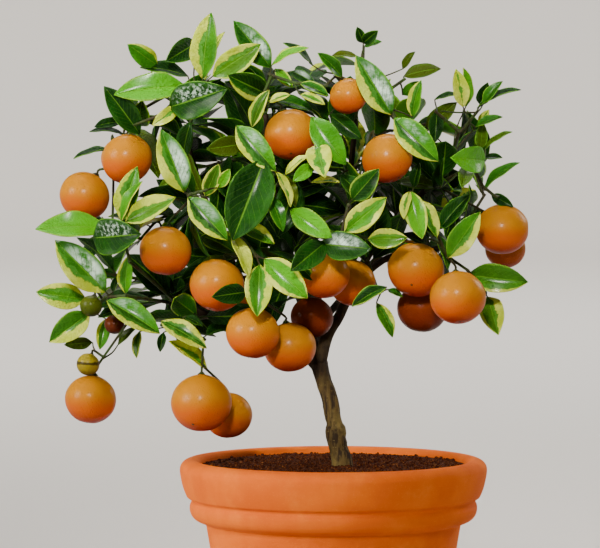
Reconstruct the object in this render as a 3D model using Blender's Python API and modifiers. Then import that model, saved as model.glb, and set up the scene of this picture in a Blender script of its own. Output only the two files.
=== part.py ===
"""A dwarf orange tree with cream-edged leaves, growing in a round terracotta pot.

Metres, +Z up. The origin is the middle of the pot's base, and the front is seen along +Y.
Listed places are in millimetres. A front place is an (x, z) pair: where a thing shows to FRONT_EYE
on the upright plane through the origin. Its depth, y, follows from the crown's round form.
"""

import math
import random

import bmesh
import bpy
import numpy as np
from mathutils import Vector
from mathutils.bvhtree import BVHTree

MM = 0.001
GAP = 0.3 * MM  # left between two pieces that touch
UP = Vector((0, 0, 1))

# Pot, in millimetres
POT_HEIGHT = 225
POT_BASE_RADIUS = 75
RIM_RADIUS = 125
RIM_FOOT_RADIUS = 119.3
BEAD_RADIUS = 117
BODY_TOP_RADIUS = 103.4
FLOOR_THICKNESS = 12
ROUND_STEPS = 28
HOLE_STEPS = 10
DRAIN_RADIUS = 6.5
DRAIN_CIRCLE = 32
DRAIN_COUNT = 3

# Soil, in millimetres
SOIL_EDGE_HEIGHT = 219.4
SOIL_EDGE_RADIUS = 108.3
SOIL_HEAP = 1.6
ROOT_HOLE_RADIUS = 9.1
ROOT_HOLE_FLOOR = 150

# Fruit
FRUIT_STEPS = {"orange": 10, "unripe_orange": 6}
FRUIT_RINGS = 5
FRUIT_FLATNESS = 0.94  # height over width

# Crown, in millimetres: the ellipsoid that the outermost leaves and oranges lie on
CROWN_MIDDLE = Vector((-42, 0, 440))
CROWN_HALF = Vector((205, 122, 165))
CROWN_LEAST = 0.12  # the smallest share of the depth, squared, that an outer leaf keeps
CROWN_HEART = Vector((-30, 0, 400))
LAYER_DEPTH = 24
BASE_INSET = 7
FRONT_EYE = Vector((-27, -3600, 564))
LAST_SEEN_DEPTH = 50  # an orange further back than this is listed by its own x, y and z

# Leaves, in millimetres
RIB_THICKNESS = 1.4
STALK_HALF = 0.65
LEAF_ASPECT = 0.42
FACING_ASPECT = 0.53
MOST_FORESHORTENING = 30
FOLD = 0.26
ARCH = 0.06
LEAF_CLEARANCE = 0.5
LONGEST_PETIOLE = 16
STALK_TURN = 0.45  # how much a root behind the blade is preferred to a nearer one
STATIONS = ((0.34, 0.98), (0.70, 0.84))  # (how far along the blade, share of its half width)
SMALL_STATIONS = ((0.45, 1.0),)
SMALL_WIDTH = 11  # a blade that shows narrower than this is built with the small stations
DEPTH_SHIFTS = (0, -4, 4, -8, 8, 12, -12, 16, 21, 26, 32, 38, 45)

# Wood, in millimetres
TWIG_RADIUS = 1.5
SIDE_TWIG_RADIUS = 1.3
STALK_RADIUS = 1.0
CALYX_RADIUS = 3.3
CALYX_HEIGHT = 2.2
CALYX_NECK = 1.4
SMALL_CALYX = 0.3  # a small fruit's calyx, as a share of its radius
NECK = 6  # a stalk's straight end above the calyx
SAMPLE_STEP = 2.0
WOOD_CLEARANCE = 0.9
FOOT_REACH = 16  # this near its foot, a twig may touch the limb that it grows from
MOST_STUB = 20
STUB_COVER = 3.5  # how far a stub stands out of its limb
MOST_STARTS = 9
START_SPACING = 4
BOW_REACH = 30  # a path this long takes a bow at its full size
ELBOW = 5  # a first twig's straight start
FIRST_BOW = 1.2
STEM_LEANS = (0.55, 0.2, 0.9, 1.4)
STEM_BACK = Vector((0, 0.25, 0))
BOWS = ((0, 0, 0), (0, 8, 0), (0, 0, 8), (0, 0, -8), (0, 16, 0), (8, 4, 0), (-8, 4, 0),
        (0, -8, 0), (0, 12, 12), (0, 12, -12), (0, 26, 0), (14, 8, 0), (-14, 8, 0))

# The trunk and its limbs: (x, y, z, radius). Each limb starts inside the wood that it forks from.
LIMBS = {
    "trunk": ((7, -15, 150, 8.3), (7, -15, 200, 8.5), (6.9, -15, 223.5, 8.5), (4.2, -14, 234, 7.6),
              (2.4, -14, 243, 8.2), (1.4, -13.5, 250, 8.5), (0, -13, 257, 6.6), (-2.8, -12, 274, 6.8),
              (-8.5, -11, 291, 6.4), (-12, -10, 304, 7.3)),
    "left": ((-12, -10, 300, 5.4), (-26, -8, 314, 4.6), (-52, -4, 325, 4.0), (-88, -2, 338, 3.4),
             (-132, -8, 352, 2.6)),
    "upper_left": ((-44, -5.5, 322, 3.4), (-64, 8, 352, 3.3), (-88, 12, 395, 3.0), (-106, 8, 440, 2.6),
                   (-118, 2, 480, 2.1)),
    "middle": ((-12.5, -9, 302, 5.2), (-20, 4, 335, 4.3), (-32, 10, 372, 3.8), (-44, 8, 420, 3.2),
               (-52, 2, 470, 2.6), (-55, 0, 505, 2.1)),
    "right": ((-12, -10, 301, 5.6), (-5, -5, 326, 4.9), (5, 1, 342, 4.3), (17, 8, 368, 3.8),
              (34, 10, 400, 3.4), (60, 8, 430, 2.8), (88, 2, 455, 2.1)),
    "upper_right": ((16, 7, 366, 3.0), (16, 12, 410, 2.9), (14, 8, 455, 2.5), (18, 0, 500, 2.1)),
    "low_right": ((16.5, 7.5, 367, 3.2), (40, 10, 386, 2.9), (60, 4, 392, 2.5), (82, -4, 395, 2.1)),
    "back": ((-12.5, -8, 304, 4.4), (-14, 28, 335, 3.8), (-22, 62, 372, 3.1), (-34, 88, 415, 2.1)),
    "back_right": ((-13, 24, 331, 3.0), (18, 56, 365, 2.9), (48, 74, 400, 2.5), (66, 80, 440, 2.1)),
    "back_left": ((-21, 58, 368, 2.8), (-66, 74, 398, 2.7), (-104, 76, 425, 2.4), (-128, 68, 455, 2.1)),
}

# Oranges: (front x, front z, depth y, radius, spray that carries it)
RIPE = (
    (12, 520, -76, 15.0, "top"),
    (-34.5, 489, -90, 21.0, "top"),
    (43.5, 469.5, -82, 20.3, "mid"),
    (-167.5, 469, -68, 20.3, "left"),
    (-202, 439, -50, 20.3, "left"),
    (-136.5, 394.5, -77, 20.7, "left_high"),
    (-94.5, 366.5, -78, 21.9, "centre"),
    (-65.5, 327.5, -78, 21.5, "mid_low"),
    (-35.5, 316, -47, 21.1, "mid_low"),
    (-7, 375, -80, 19.9, "mid_low"),
    (15, 368.5, -46, 19.5, "low_mid"),
    (-17.5, 340.5, -22, 17.4, "low_mid"),
    (-197.5, 273.5, -36, 20.7, "left_low"),
    (-107.5, 270.5, -62, 24.3, "low"),
    (-85.5, 260.5, -23, 19.5, "low"),
    (67, 379, -67, 22.7, "right_low"),
    (101, 356.5, -88, 22.3, "right_low"),
    (72, 347.5, -36, 20.3, "right_low"),
    (137, 412, -32, 21.5, "right_mid"),
    (139.5, 396, 5, 16.6, "right_mid"),
    (43, 463, 76, 20.0, "back_high_right"),
    (-36, 482, 88, 20.5, "back_top"),
    (-136, 391, 66, 20.0, "back_low_left"),
    (66, 380, 76, 21.0, "back_low_right"),
    (-70, 352, 60, 20.5, "back_mid"),
    (-172, 468, 52, 19.0, "back_high_left"),
)
UNRIPE = (
    (-197, 349.5, -50, 9.0, "left_low"),
    (-199.5, 302, -42, 9.3, "left_low"),
    (-178, 334.5, -31, 8.2, "left_low"),
)

# Sprays: (limb, how far along it, twig tips). A tip is a front place, or a point (x, y, z) on the
# sides and back.
SPRAYS = {
    "top_left": ("upper_left", 1.0, ((-108, 528), (-126, 520), (-142, 503), (-150, 538), (-166, 495))),
    "top": ("middle", 1.0, ((-52, 538), (-30, 530), (-66, 500), (-5, 528))),
    "top_right": ("upper_right", 1.0, ((24, 556), (20, 537), (48, 508), (58, 534))),
    "right_high": ("right", 1.0, ((102, 492), (117, 508), (82, 508))),
    "right_mid": ("right", 0.90, ((110, 462), (123, 470), (122, 445), (132, 438))),
    "right_front": ("right", 0.72, ((64, 441), (86, 416))),
    "right_low": ("low_right", 1.0, ((93, 389), (110, 378), (124, 360), (84, 408))),
    "mid": ("upper_right", 0.42, ((12, 432), (6, 408), (30, 404))),
    "mid_high": ("middle", 0.72, ((-18, 462), (-11, 500), (-14, 480), (-38, 457))),
    "mid_low": ("middle", 0.40, ((-12, 402), (-35, 424), (-30, 388))),
    "low_mid": ("right", 0.34, ((40, 363),)),
    "centre": ("upper_left", 0.45, ((-62, 390), (-77, 410), (-50, 440))),
    "left_high": ("upper_left", 0.72, ((-118, 440), (-102, 444))),
    "left_inner": ("middle", 0.86, ((-72, 485), (-57, 470))),
    "left": ("left", 0.92, ((-166, 386), (-174, 416), (-188, 410))),
    "left_low": ("left", 1.0, ((-170, 358), (-186, 357), (-197, 345), (-168, 334))),
    "low": ("left", 0.74, ((-140, 334), (-104, 322))),
    "back_top": ("back", 1.0, ((-62, 78, 466), (-56, 52, 530), (-14, 48, 540), (-88, 54, 508))),
    "back_mid": ("back", 0.82, ((-44, 108, 416), (-62, 100, 388), (-14, 112, 398))),
    "back_high_left": ("back_left", 1.0, ((-112, 60, 505), (-140, 50, 520), (-172, 28, 500))),
    "back_low_left": ("back_left", 0.60, ((-128, 84, 420), (-160, 64, 400), (-190, 36, 415))),
    "back_high_right": ("back_right", 1.0, ((62, 70, 490), (30, 46, 522), (92, 36, 500))),
    "back_low_right": ("back_right", 0.62, ((60, 98, 420), (104, 52, 418), (30, 104, 424))),
    "inner_left": ("middle", 0.58, ((-72, 40, 472), (-44, 34, 508), (-104, 38, 462))),
    "inner_right": ("upper_right", 0.62, ((22, 42, 472), (-10, 36, 500), (56, 34, 468))),
    "right_side": ("low_right", 0.80, ((100, 20, 400), (124, 22, 440), (112, 36, 470))),
    "left_side": ("left", 0.84, ((-150, 20, 370), (-190, 12, 376), (-205, 0, 392))),
}

# Leaves that show from the front: (base x, z, tip x, z, width as it shows, layer). Layer 0 is outermost.
LEAVES = {
    "top_left": (
        (-106, 534, -99, 588, 21, 0), (-104, 533, -88, 572, 7, 1), (-98, 536, -59, 562, 21, 0),
        (-111, 563, -136, 548, 18, 1), (-118, 536, -157, 543, 10, 1), (-120, 528, -178, 521, 22, 0),
        (-133, 511, -86, 526, 29, 0), (-126, 511, -147, 496, 11, 0), (-143, 545, -167, 562, 16, 0),
        (-157, 489, -186, 528, 20, 0), (-159, 496, -155, 517, 18, 1), (-172, 499, -194, 495, 8, 1),
        (-170, 489, -198, 491, 4, 1), (-180, 476, -211, 469, 4, 1),
    ),
    "top": (
        (-51, 543, -81, 581, 20, 0), (-55, 522, -86, 537, 21, 1), (-66, 495, -52, 525, 11, 0),
        (-50, 545, -20, 559, 6, 0), (-47, 542, -33, 527, 9, 1), (-17, 545, -41, 563, 5, 1),
        (-34, 540, -15, 530, 9, 1), (-52, 515, -35, 521, 6, 0), (-47, 517, -17, 508, 9, 1),
        (-27, 530, -4, 520, 8, 0), (-27, 521, -7, 513, 7, 0), (7, 535, -13, 555, 10, 0),
    ),
    "top_right": (
        (24, 563, 19, 576, 8, 0), (24, 563, 36, 573, 10, 0), (25, 560, 39, 564, 5, 1),
        (19, 552, -2, 552, 5, 1), (47, 505, 18, 553, 24, 0), (-3, 505, 23, 485, 14, 1),
        (57, 536, 87, 542, 11, 0), (56, 542, 66, 556, 6, 1), (56, 521, 70, 532, 9, 1),
        (64, 503, 71, 533, 11, 0), (49, 502, 85, 467, 23, 0),
    ),
    "right_high": (
        (105, 511, 99, 542, 13, 0), (107, 511, 105, 543, 8, 1), (82, 517, 101, 521, 4, 1),
        (75, 495, 100, 515, 14, 2), (119, 513, 125, 531, 11, 1), (121, 513, 137, 532, 8, 0),
        (117, 511, 152, 525, 5, 0), (115, 495, 137, 503, 6, 0), (118, 498, 126, 509, 7, 1),
        (84, 508, 82, 482, 12, 2),
    ),
    "right_mid": (
        (123, 468, 95, 470, 21, 0), (119, 477, 121, 499, 10, 1), (123, 477, 145, 491, 4, 0),
        (122, 470, 137, 470, 5, 1), (122, 444, 151, 466, 7, 0), (109, 462, 104, 446, 12, 0),
        (87, 446, 89, 470, 7, 1), (128, 440, 146, 430, 9, 1),
    ),
    "right_front": (
        (62, 443, 72, 404, 18, 0), (70, 436, 84, 405, 11, 0), (62, 443, 57, 420, 8, 0),
        (86, 412, 111, 440, 14, 1), (65, 446, 70, 466, 8, 1),
    ),
    "right_low": (
        (93, 389, 119, 426, 20, 0), (109, 375, 158, 369, 23, 0), (125, 357, 134, 326, 20, 1),
        (83, 408, 93, 379, 8, 1),
    ),
    "mid": (
        (15, 436, 37, 461, 18, 0), (5, 456, 31, 430, 14, 1), (9, 410, 43, 438, 20, 0),
        (-9, 400, 31, 396, 23, 0), (28, 404, 60, 405, 16, 0),
    ),
    "mid_high": (
        (-14, 480, -7, 454, 20, 0), (-18, 450, 5, 450, 5, 1), (-17, 464, -33, 451, 11, 0),
        (-39, 456, -20, 472, 6, 0), (-18, 503, 10, 464, 21, 0),
    ),
    "mid_low": (
        (-35, 428, -1, 405, 18, 0), (-7, 401, -35, 378, 20, 0), (-30, 386, -16, 370, 10, 1),
    ),
    "low_mid": (
        (43, 365, 15, 349, 10, 0), (35, 352, 48, 324, 11, 0), (44, 363, 56, 357, 5, 1),
    ),
    "centre": (
        (-50, 443, -75, 433, 12, 0), (-53, 440, -41, 410, 12, 0), (-47, 459, -35, 430, 7, 0),
        (-41, 456, -31, 430, 10, 1), (-83, 408, -69, 373, 11, 0), (-56, 388, -21, 356, 23, 0),
        (-60, 383, -62, 341, 22, 0), (-71, 361, -99, 357, 16, 0), (-76, 408, -58, 375, 12, 1),
        (-76, 416, -48, 400, 12, 1),
    ),
    "left_high": (
        (-121, 442, -140, 493, 24, 0), (-118, 438, -86, 403, 21, 0), (-104, 439, -93, 465, 13, 1),
        (-93, 446, -84, 461, 9, 1),
    ),
    "left_inner": (
        (-56, 469, -82, 403, 36, 0), (-74, 481, -103, 477, 16, 1), (-79, 496, -47, 459, 21, 0),
    ),
    "left": (
        (-172, 419, -159, 463, 18, 0), (-172, 418, -155, 451, 7, 0), (-169, 418, -128, 438, 18, 0),
        (-183, 412, -242, 412, 20, 0), (-195, 405, -156, 408, 29, 0),
    ),
    "left_low": (
        (-185, 361, -226, 403, 28, 0), (-201, 355, -242, 361, 21, 0), (-198, 344, -231, 320, 21, 0),
        (-196, 320, -219, 318, 10, 1), (-184, 354, -141, 327, 20, 0), (-169, 360, -166, 391, 12, 1),
        (-179, 361, -175, 374, 5, 1), (-185, 339, -190, 314, 11, 1), (-175, 318, -160, 332, 6, 1),
    ),
    "low": (
        (-140, 337, -103, 315, 16, 0), (-103, 299, -134, 321, 11, 0), (-121, 341, -106, 333, 6, 1),
        (-157, 329, -160, 307, 7, 1), (-138, 328, -141, 312, 7, 1),
    ),
}

# Leaves that the rule below adds, as (most in a front spray, most in a back or side spray)
FILL_FRONT, FILL_BACK = 2, 8
FILL_TRIES = 3
FILL_BEYOND = 8  # how far an added leaf may stand out at the back
FRUIT_MARGIN = 3
FILL_PETIOLE = 6
FILL_LENGTHS = (42, 60)
FILL_ASPECT = 0.45
FIRST_FILL = 4  # samples left bare at a spray's foot
FILL_SPOTS = 24
GOLDEN_ANGLE = math.radians(137.5)
GOLDEN_SHARE = 0.618
# The front outline that added leaves stay within, as front places
OUTLINE = (
    (-104, 566), (-58, 550), (-3, 546), (20, 548), (42, 535), (78, 521), (119, 508), (127, 489),
    (127, 460), (112, 424), (96, 404), (54, 404), (42, 381), (9, 378), (-12, 372), (-36, 362),
    (-58, 363), (-88, 352), (-104, 340), (-141, 333), (-181, 325), (-210, 339), (-224, 359),
    (-222, 386), (-212, 408), (-180, 424), (-157, 440), (-149, 465), (-169, 493), (-180, 513),
    (-161, 534), (-133, 543),
)

DRAWS = random.Random(7)


def surface(name, colour, roughness):
    """A material of one plain colour."""
    material = bpy.data.materials.new(name)
    material.use_nodes = True
    shader = material.node_tree.nodes["Principled BSDF"]
    shader.inputs["Base Color"].default_value = (*colour, 1)
    shader.inputs["Roughness"].default_value = roughness
    shader.inputs["Metallic"].default_value = 0
    return material


def add_object(name, mesh, collection, material=None, parent=None):
    """An object of this mesh, shaded smooth but for its sharp edges."""
    item = bpy.data.objects.new(name, mesh)
    collection.objects.link(item)
    item.parent = parent
    if material:
        mesh.materials.clear()
        mesh.materials.append(material)
    mesh.shade_smooth()
    mesh.set_sharp_from_angle(angle=math.radians(40))
    return item


def remove_object(item):
    data = item.data
    bpy.data.objects.remove(item)
    store = bpy.data.meshes if isinstance(data, bpy.types.Mesh) else bpy.data.curves
    store.remove(data)


def applied(item):
    """The item's mesh as its modifiers leave it. The item itself is used up."""
    bpy.context.view_layer.update()
    graph = bpy.context.evaluated_depsgraph_get()
    mesh = bpy.data.meshes.new_from_object(item.evaluated_get(graph))
    remove_object(item)
    return mesh


def turned_mesh(profile, steps):
    """The closed solid that a profile of (radius, height) makes when it is turned round Z."""
    mesh = bpy.data.meshes.new("profile")
    corners = [(radius * MM, 0, height * MM) for radius, height in profile]
    mesh.from_pydata(corners, [(i, i + 1) for i in range(len(corners) - 1)], [])
    item = bpy.data.objects.new("profile", mesh)
    bpy.context.scene.collection.objects.link(item)
    screw = item.modifiers.new("turn", "SCREW")
    screw.steps = steps
    screw.render_steps = steps
    screw.use_merge_vertices = True
    screw.merge_threshold = 0.00001
    return applied(item)


def tube_mesh(points, radii, resolution):
    """A closed tube through these points, in millimetres, with a radius at each."""
    widest = max(radii)
    curve = bpy.data.curves.new("tube", "CURVE")
    curve.dimensions = "3D"
    curve.bevel_depth = widest * MM
    curve.bevel_resolution = resolution
    curve.use_fill_caps = True
    spline = curve.splines.new("POLY")
    spline.points.add(len(points) - 1)
    for spot, point, radius in zip(spline.points, points, radii):
        spot.co = (*(Vector(point) * MM), 1)
        spot.radius = radius / widest
    item = bpy.data.objects.new("tube", curve)
    bpy.context.scene.collection.objects.link(item)
    mesh = applied(item)
    shape = bmesh.new()
    shape.from_mesh(mesh)
    bmesh.ops.remove_doubles(shape, verts=shape.verts, dist=0.000001)
    bmesh.ops.recalc_face_normals(shape, faces=shape.faces)
    shape.to_mesh(mesh)
    shape.free()
    return mesh


def combine(mesh, others, operation):
    """One Boolean of this mesh with the others, which are all used up."""
    group = bpy.data.collections.new("operands")
    bpy.context.scene.collection.children.link(group)
    operands = [add_object("operand", other, group) for other in others]
    body = add_object("body", mesh, bpy.context.scene.collection)
    boolean = body.modifiers.new("combine", "BOOLEAN")
    boolean.operation = operation
    boolean.operand_type = "COLLECTION"
    boolean.collection = group
    boolean.solver = "EXACT"
    result = applied(body)
    for operand in operands:
        remove_object(operand)
    bpy.data.collections.remove(group)
    return result


# Pot and soil

def inner_wall():
    """The pot's inside, from the floor's edge up to the lip."""
    return [(64, FLOOR_THICKNESS), (98.2, 190), (107.2, 213), (109.4, 221.5)]


def add_pot(collection, parent):
    lip = [(112.3, POT_HEIGHT - 0.6), (116, POT_HEIGHT), (121, POT_HEIGHT - 1.6),
           (124.2, POT_HEIGHT - 4.5), (RIM_RADIUS, POT_HEIGHT - 8.5)]
    rim_foot = [(122.8, 204), (RIM_FOOT_RADIUS, 194.5), (116.6, 191.6)]
    bead = [(116.4, 189), (BEAD_RADIUS, 185.5), (116.2, 181), (112.6, 176.6), (104.4, 173.4)]
    body = [(BODY_TOP_RADIUS, 170), (POT_BASE_RADIUS + 0.3, 2.2), (POT_BASE_RADIUS - 1.9, 0), (0, 0)]
    profile = [(0, FLOOR_THICKNESS)] + inner_wall() + lip + rim_foot + bead + body
    holes = []
    for step in range(DRAIN_COUNT):
        angle = math.tau * (step + 0.25) / DRAIN_COUNT
        shape = bmesh.new()
        bmesh.ops.create_cone(shape, cap_ends=True, segments=HOLE_STEPS, radius1=DRAIN_RADIUS * MM,
                              radius2=DRAIN_RADIUS * MM, depth=3 * FLOOR_THICKNESS * MM)
        middle = Vector((math.cos(angle), math.sin(angle), 0)) * DRAIN_CIRCLE * MM
        bmesh.ops.translate(shape, verts=shape.verts, vec=middle)
        mesh = bpy.data.meshes.new("drain")
        shape.to_mesh(mesh)
        shape.free()
        holes.append(mesh)
    mesh = combine(turned_mesh(profile, ROUND_STEPS), holes, "DIFFERENCE")
    material = surface("terracotta", (0.60, 0.22, 0.09), 0.8)
    add_object("pot", mesh, collection, material, parent)


def soil_height(x, y):
    """How far the crumbly top stands above the soil's edge, at a place in metres."""
    distance = math.hypot(x, y) / (SOIL_EDGE_RADIUS * MM)
    crumbs = math.sin(310 * x + 1.3) * math.cos(270 * y - 0.4) + 0.6 * math.sin(520 * x - 430 * y)
    return (SOIL_HEAP * (1 - distance**2) + 0.55 * crumbs * min(1, 4 * (1 - distance))) * MM


def add_soil(collection, parent):
    clear = 0.4
    wall = [(radius - clear, height) for radius, height in inner_wall()[:-1]]
    top = [(distance, SOIL_EDGE_HEIGHT) for distance in (SOIL_EDGE_RADIUS, 62, 0)]
    profile = [(0, FLOOR_THICKNESS + clear), (64 - clear, FLOOR_THICKNESS + clear)] + wall[1:] + top
    # The profile runs up its outer side here, so it is listed from the middle of the top instead.
    mesh = turned_mesh(profile[::-1], ROUND_STEPS)
    for vertex in mesh.vertices:
        if vertex.co.z > (SOIL_EDGE_HEIGHT - 0.1) * MM:
            vertex.co.z += soil_height(vertex.co.x, vertex.co.y)
    root = LIMBS["trunk"][0]
    height = SOIL_EDGE_HEIGHT + 20 - ROOT_HOLE_FLOOR
    shape = bmesh.new()
    bmesh.ops.create_cone(shape, cap_ends=True, segments=HOLE_STEPS, radius1=ROOT_HOLE_RADIUS * MM,
                          radius2=ROOT_HOLE_RADIUS * MM, depth=height * MM)
    middle = Vector((root[0], root[1], ROOT_HOLE_FLOOR + height / 2)) * MM
    bmesh.ops.translate(shape, verts=shape.verts, vec=middle)
    hole = bpy.data.meshes.new("root_hole")
    shape.to_mesh(hole)
    shape.free()
    mesh = combine(mesh, [hole], "DIFFERENCE")
    add_object("soil", mesh, collection, surface("soil", (0.045, 0.022, 0.014), 0.95), parent)


# Places and clearances, all in millimetres

def seen_at(x, z, y):
    """The point at depth y that shows to the front at (x, z)."""
    share = (y - FRONT_EYE.y) / -FRONT_EYE.y
    return FRONT_EYE + (Vector((x, 0, z)) - FRONT_EYE) * share


def shown_at(point):
    """Where a point shows to the front, as (x, z)."""
    share = -FRONT_EYE.y / (point.y - FRONT_EYE.y)
    shown = FRONT_EYE + (point - FRONT_EYE) * share
    return shown.x, shown.z


def crown_reach(x, z):
    """How far the crown's round form reaches in front of and behind a front place."""
    across = (x - CROWN_MIDDLE.x) / CROWN_HALF.x
    upright = (z - CROWN_MIDDLE.z) / CROWN_HALF.z
    return CROWN_HALF.y * math.sqrt(max(CROWN_LEAST, 1 - across**2 - upright**2))


def along_polyline(points, share):
    """The point this share of the way along a polyline, the direction there and its radius."""
    places = [Vector(point[:3]) for point in points]
    lengths = [(b - a).length for a, b in zip(places, places[1:])]
    left = share * sum(lengths)
    for index, length in enumerate(lengths):
        if left <= length or index == len(lengths) - 1:
            part = min(1, left / length)
            radius = points[index][3] + (points[index + 1][3] - points[index][3]) * part
            direction = (places[index + 1] - places[index]).normalized()
            return places[index].lerp(places[index + 1], part), direction, radius
        left -= length


def samples_of(points, step=SAMPLE_STEP):
    """Points spaced evenly along a polyline."""
    found = [points[0]]
    for start, end in zip(points, points[1:]):
        count = max(1, math.ceil((end - start).length / step))
        found += [start.lerp(end, i / count) for i in range(1, count + 1)]
    return found


class Wood:
    """Every limb, twig and stalk so far, as points with a radius, and the fruits to keep clear of."""

    def __init__(self, fruits):
        self.fruit_places = np.array([fruit["centre"] for fruit in fruits])
        self.fruit_radii = np.array([fruit["radius"] for fruit in fruits])
        self.places = np.zeros((0, 3))
        self.radii = np.zeros(0)
        self.owners = np.zeros(0, int)

    def add(self, points, radius, owner):
        self.places = np.vstack([self.places, np.array([tuple(p) for p in points])])
        self.radii = np.append(self.radii, np.full(len(points), radius))
        self.owners = np.append(self.owners, np.full(len(points), owner))

    def clear(self, points, radius, owner, limb=None, start=None):
        """Whether a path keeps off the fruits and off all other owners' wood.

        Near its start it may touch the limb that it grows from.
        """
        spots = np.array([tuple(p) for p in points])
        fruit_room = np.linalg.norm(spots[:, None] - self.fruit_places, axis=2) - self.fruit_radii
        if fruit_room.min() < radius + WOOD_CLEARANCE:
            return False
        others = self.owners != owner
        if start is not None:
            near = np.linalg.norm(self.places - np.array(tuple(start)), axis=1) < FOOT_REACH
            others &= ~(near & (self.owners == limb))
        if not others.any():
            return True
        room = np.linalg.norm(spots[:, None] - self.places[others], axis=2) - self.radii[others]
        return room.min() > radius + WOOD_CLEARANCE


def fruit_list():
    """Every fruit's name, centre, radius and carrier."""
    fruits = []
    for kind, rows in (("orange", RIPE), ("unripe_orange", UNRIPE)):
        for index, (x, z, y, radius, spray) in enumerate(rows):
            centre = seen_at(x, z, y) if y < LAST_SEEN_DEPTH else Vector((x, y, z))
            fruits.append({"name": f"{kind}_{index + 1:02d}", "kind": kind, "centre": centre,
                           "radius": radius, "spray": spray})
    return fruits


def tip_place(tip):
    if len(tip) == 3:
        return Vector(tip)
    return seen_at(tip[0], tip[1], -crown_reach(*tip) + 2 * BASE_INSET)


def stub_of(spray):
    """Where a spray leaves its limb: the limb's point, the way out, and how long the stub is."""
    limb, share, tips = SPRAYS[spray]
    start, limb_way, limb_radius = along_polyline(LIMBS[limb], share)
    way = (tip_place(tips[0]) - start).normalized() if share < 1 else limb_way
    slant = max(0.35, math.sin(way.angle(limb_way)))
    length = min(MOST_STUB, limb_radius / slant + STUB_COVER) if share < 1 else 0
    return start, way, length


def grow(wood, own, target, radius, owner):
    """The first clear three-point path from a spray's own wood to the target, or None."""
    starts = sorted(own, key=lambda place: (place - target).length)
    chosen = []
    for place in starts:
        if all((place - other).length > START_SPACING for other in chosen):
            chosen.append(place)
        if len(chosen) == MOST_STARTS:
            break
    for bow in BOWS:
        for start in chosen:
            size = min(1, (target - start).length / BOW_REACH)
            middle = (start + target) / 2 + Vector(bow) * size
            path = [start, middle, target] if any(bow) else [start, target]
            if wood.clear(samples_of(path), radius, owner):
                return path
    return None


def grow_all(fruits):
    """The whole skeleton: each spray's tubes as (points, radii), and every fruit's stalk end."""
    wood = Wood(fruits)
    for number, points in enumerate(LIMBS.values()):
        for start, end in zip(points, points[1:]):
            radius = max(start[3], end[3])
            wood.add(samples_of([Vector(start[:3]), Vector(end[:3])]), radius, -1 - number)
    tubes, own = {}, {}
    limb_names = list(LIMBS)
    for owner, (spray, (limb, _, tips)) in enumerate(SPRAYS.items()):
        start, way, length = stub_of(spray)
        first = start + way * (length + GAP / MM)
        target = tip_place(tips[0])
        limb_owner = -1 - limb_names.index(limb)
        for bow in BOWS:
            elbow = first + way * ELBOW
            middle = (elbow + target) / 2 + Vector(bow) * FIRST_BOW
            path = [first, elbow, middle, target]
            if wood.clear(samples_of(path), TWIG_RADIUS, owner, limb_owner, start):
                break
        own[spray] = samples_of(path)[:-1]
        tubes[spray] = [(path, [TWIG_RADIUS] * 4)]
        wood.add(own[spray], TWIG_RADIUS, owner)
    for owner, (spray, (_, _, tips)) in enumerate(SPRAYS.items()):
        for tip in tips[1:]:
            path = grow(wood, own[spray], tip_place(tip), SIDE_TWIG_RADIUS, owner)
            if path:
                tubes[spray].append((path, [SIDE_TWIG_RADIUS] * len(path)))
                own[spray] += samples_of(path)[:-1]
                wood.add(samples_of(path), SIDE_TWIG_RADIUS, owner)
    for fruit in fruits:
        grow_stalk(wood, fruit, own, tubes)
    return tubes, own


def grow_stalk(wood, fruit, own, tubes):
    """Adds the stalk that carries a fruit, and sets the way that the fruit's stem end faces."""
    spray = fruit["spray"]
    owner = list(SPRAYS).index(spray)
    centre, radius = fruit["centre"], fruit["radius"]
    nearest = min(own[spray], key=lambda place: (place - centre).length)
    lean = (nearest - centre).normalized()
    for share in STEM_LEANS:
        stem = (UP + lean * share + STEM_BACK).normalized()
        end = centre + stem * stem_height(radius)
        path = grow(wood, own[spray], end + stem * NECK, STALK_RADIUS, owner)
        if path:
            break
    fruit["stem"] = stem
    calyx = min(CALYX_RADIUS, SMALL_CALYX * radius)
    points = path + [end + stem * CALYX_HEIGHT, end + stem * GAP / MM]
    tubes[spray].append((points, [STALK_RADIUS] * len(path) + [CALYX_NECK, calyx]))
    own[spray] += samples_of(path)[:-1]
    wood.add(samples_of(path), STALK_RADIUS, owner)


def stem_height(radius):
    """How far a fruit's flat stem end stands from its middle."""
    return FRUIT_FLATNESS * radius * math.sqrt(1 - (stem_disc(radius) / radius) ** 2)


def stem_disc(radius):
    """The radius of a fruit's flat stem end."""
    return min(CALYX_RADIUS + 0.5, 0.34 * radius)


def fruit_profile(radius):
    """A fruit's outline, from the middle of its flat stem end down to its foot."""
    first = math.asin(stem_disc(radius) / radius)
    bends = [first + (math.pi - first) * step / FRUIT_RINGS for step in range(FRUIT_RINGS)]
    side = [(radius * math.sin(bend), FRUIT_FLATNESS * radius * math.cos(bend)) for bend in bends]
    return [(0, stem_height(radius)), *side, (0, -FRUIT_FLATNESS * radius)]


# Leaves

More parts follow.
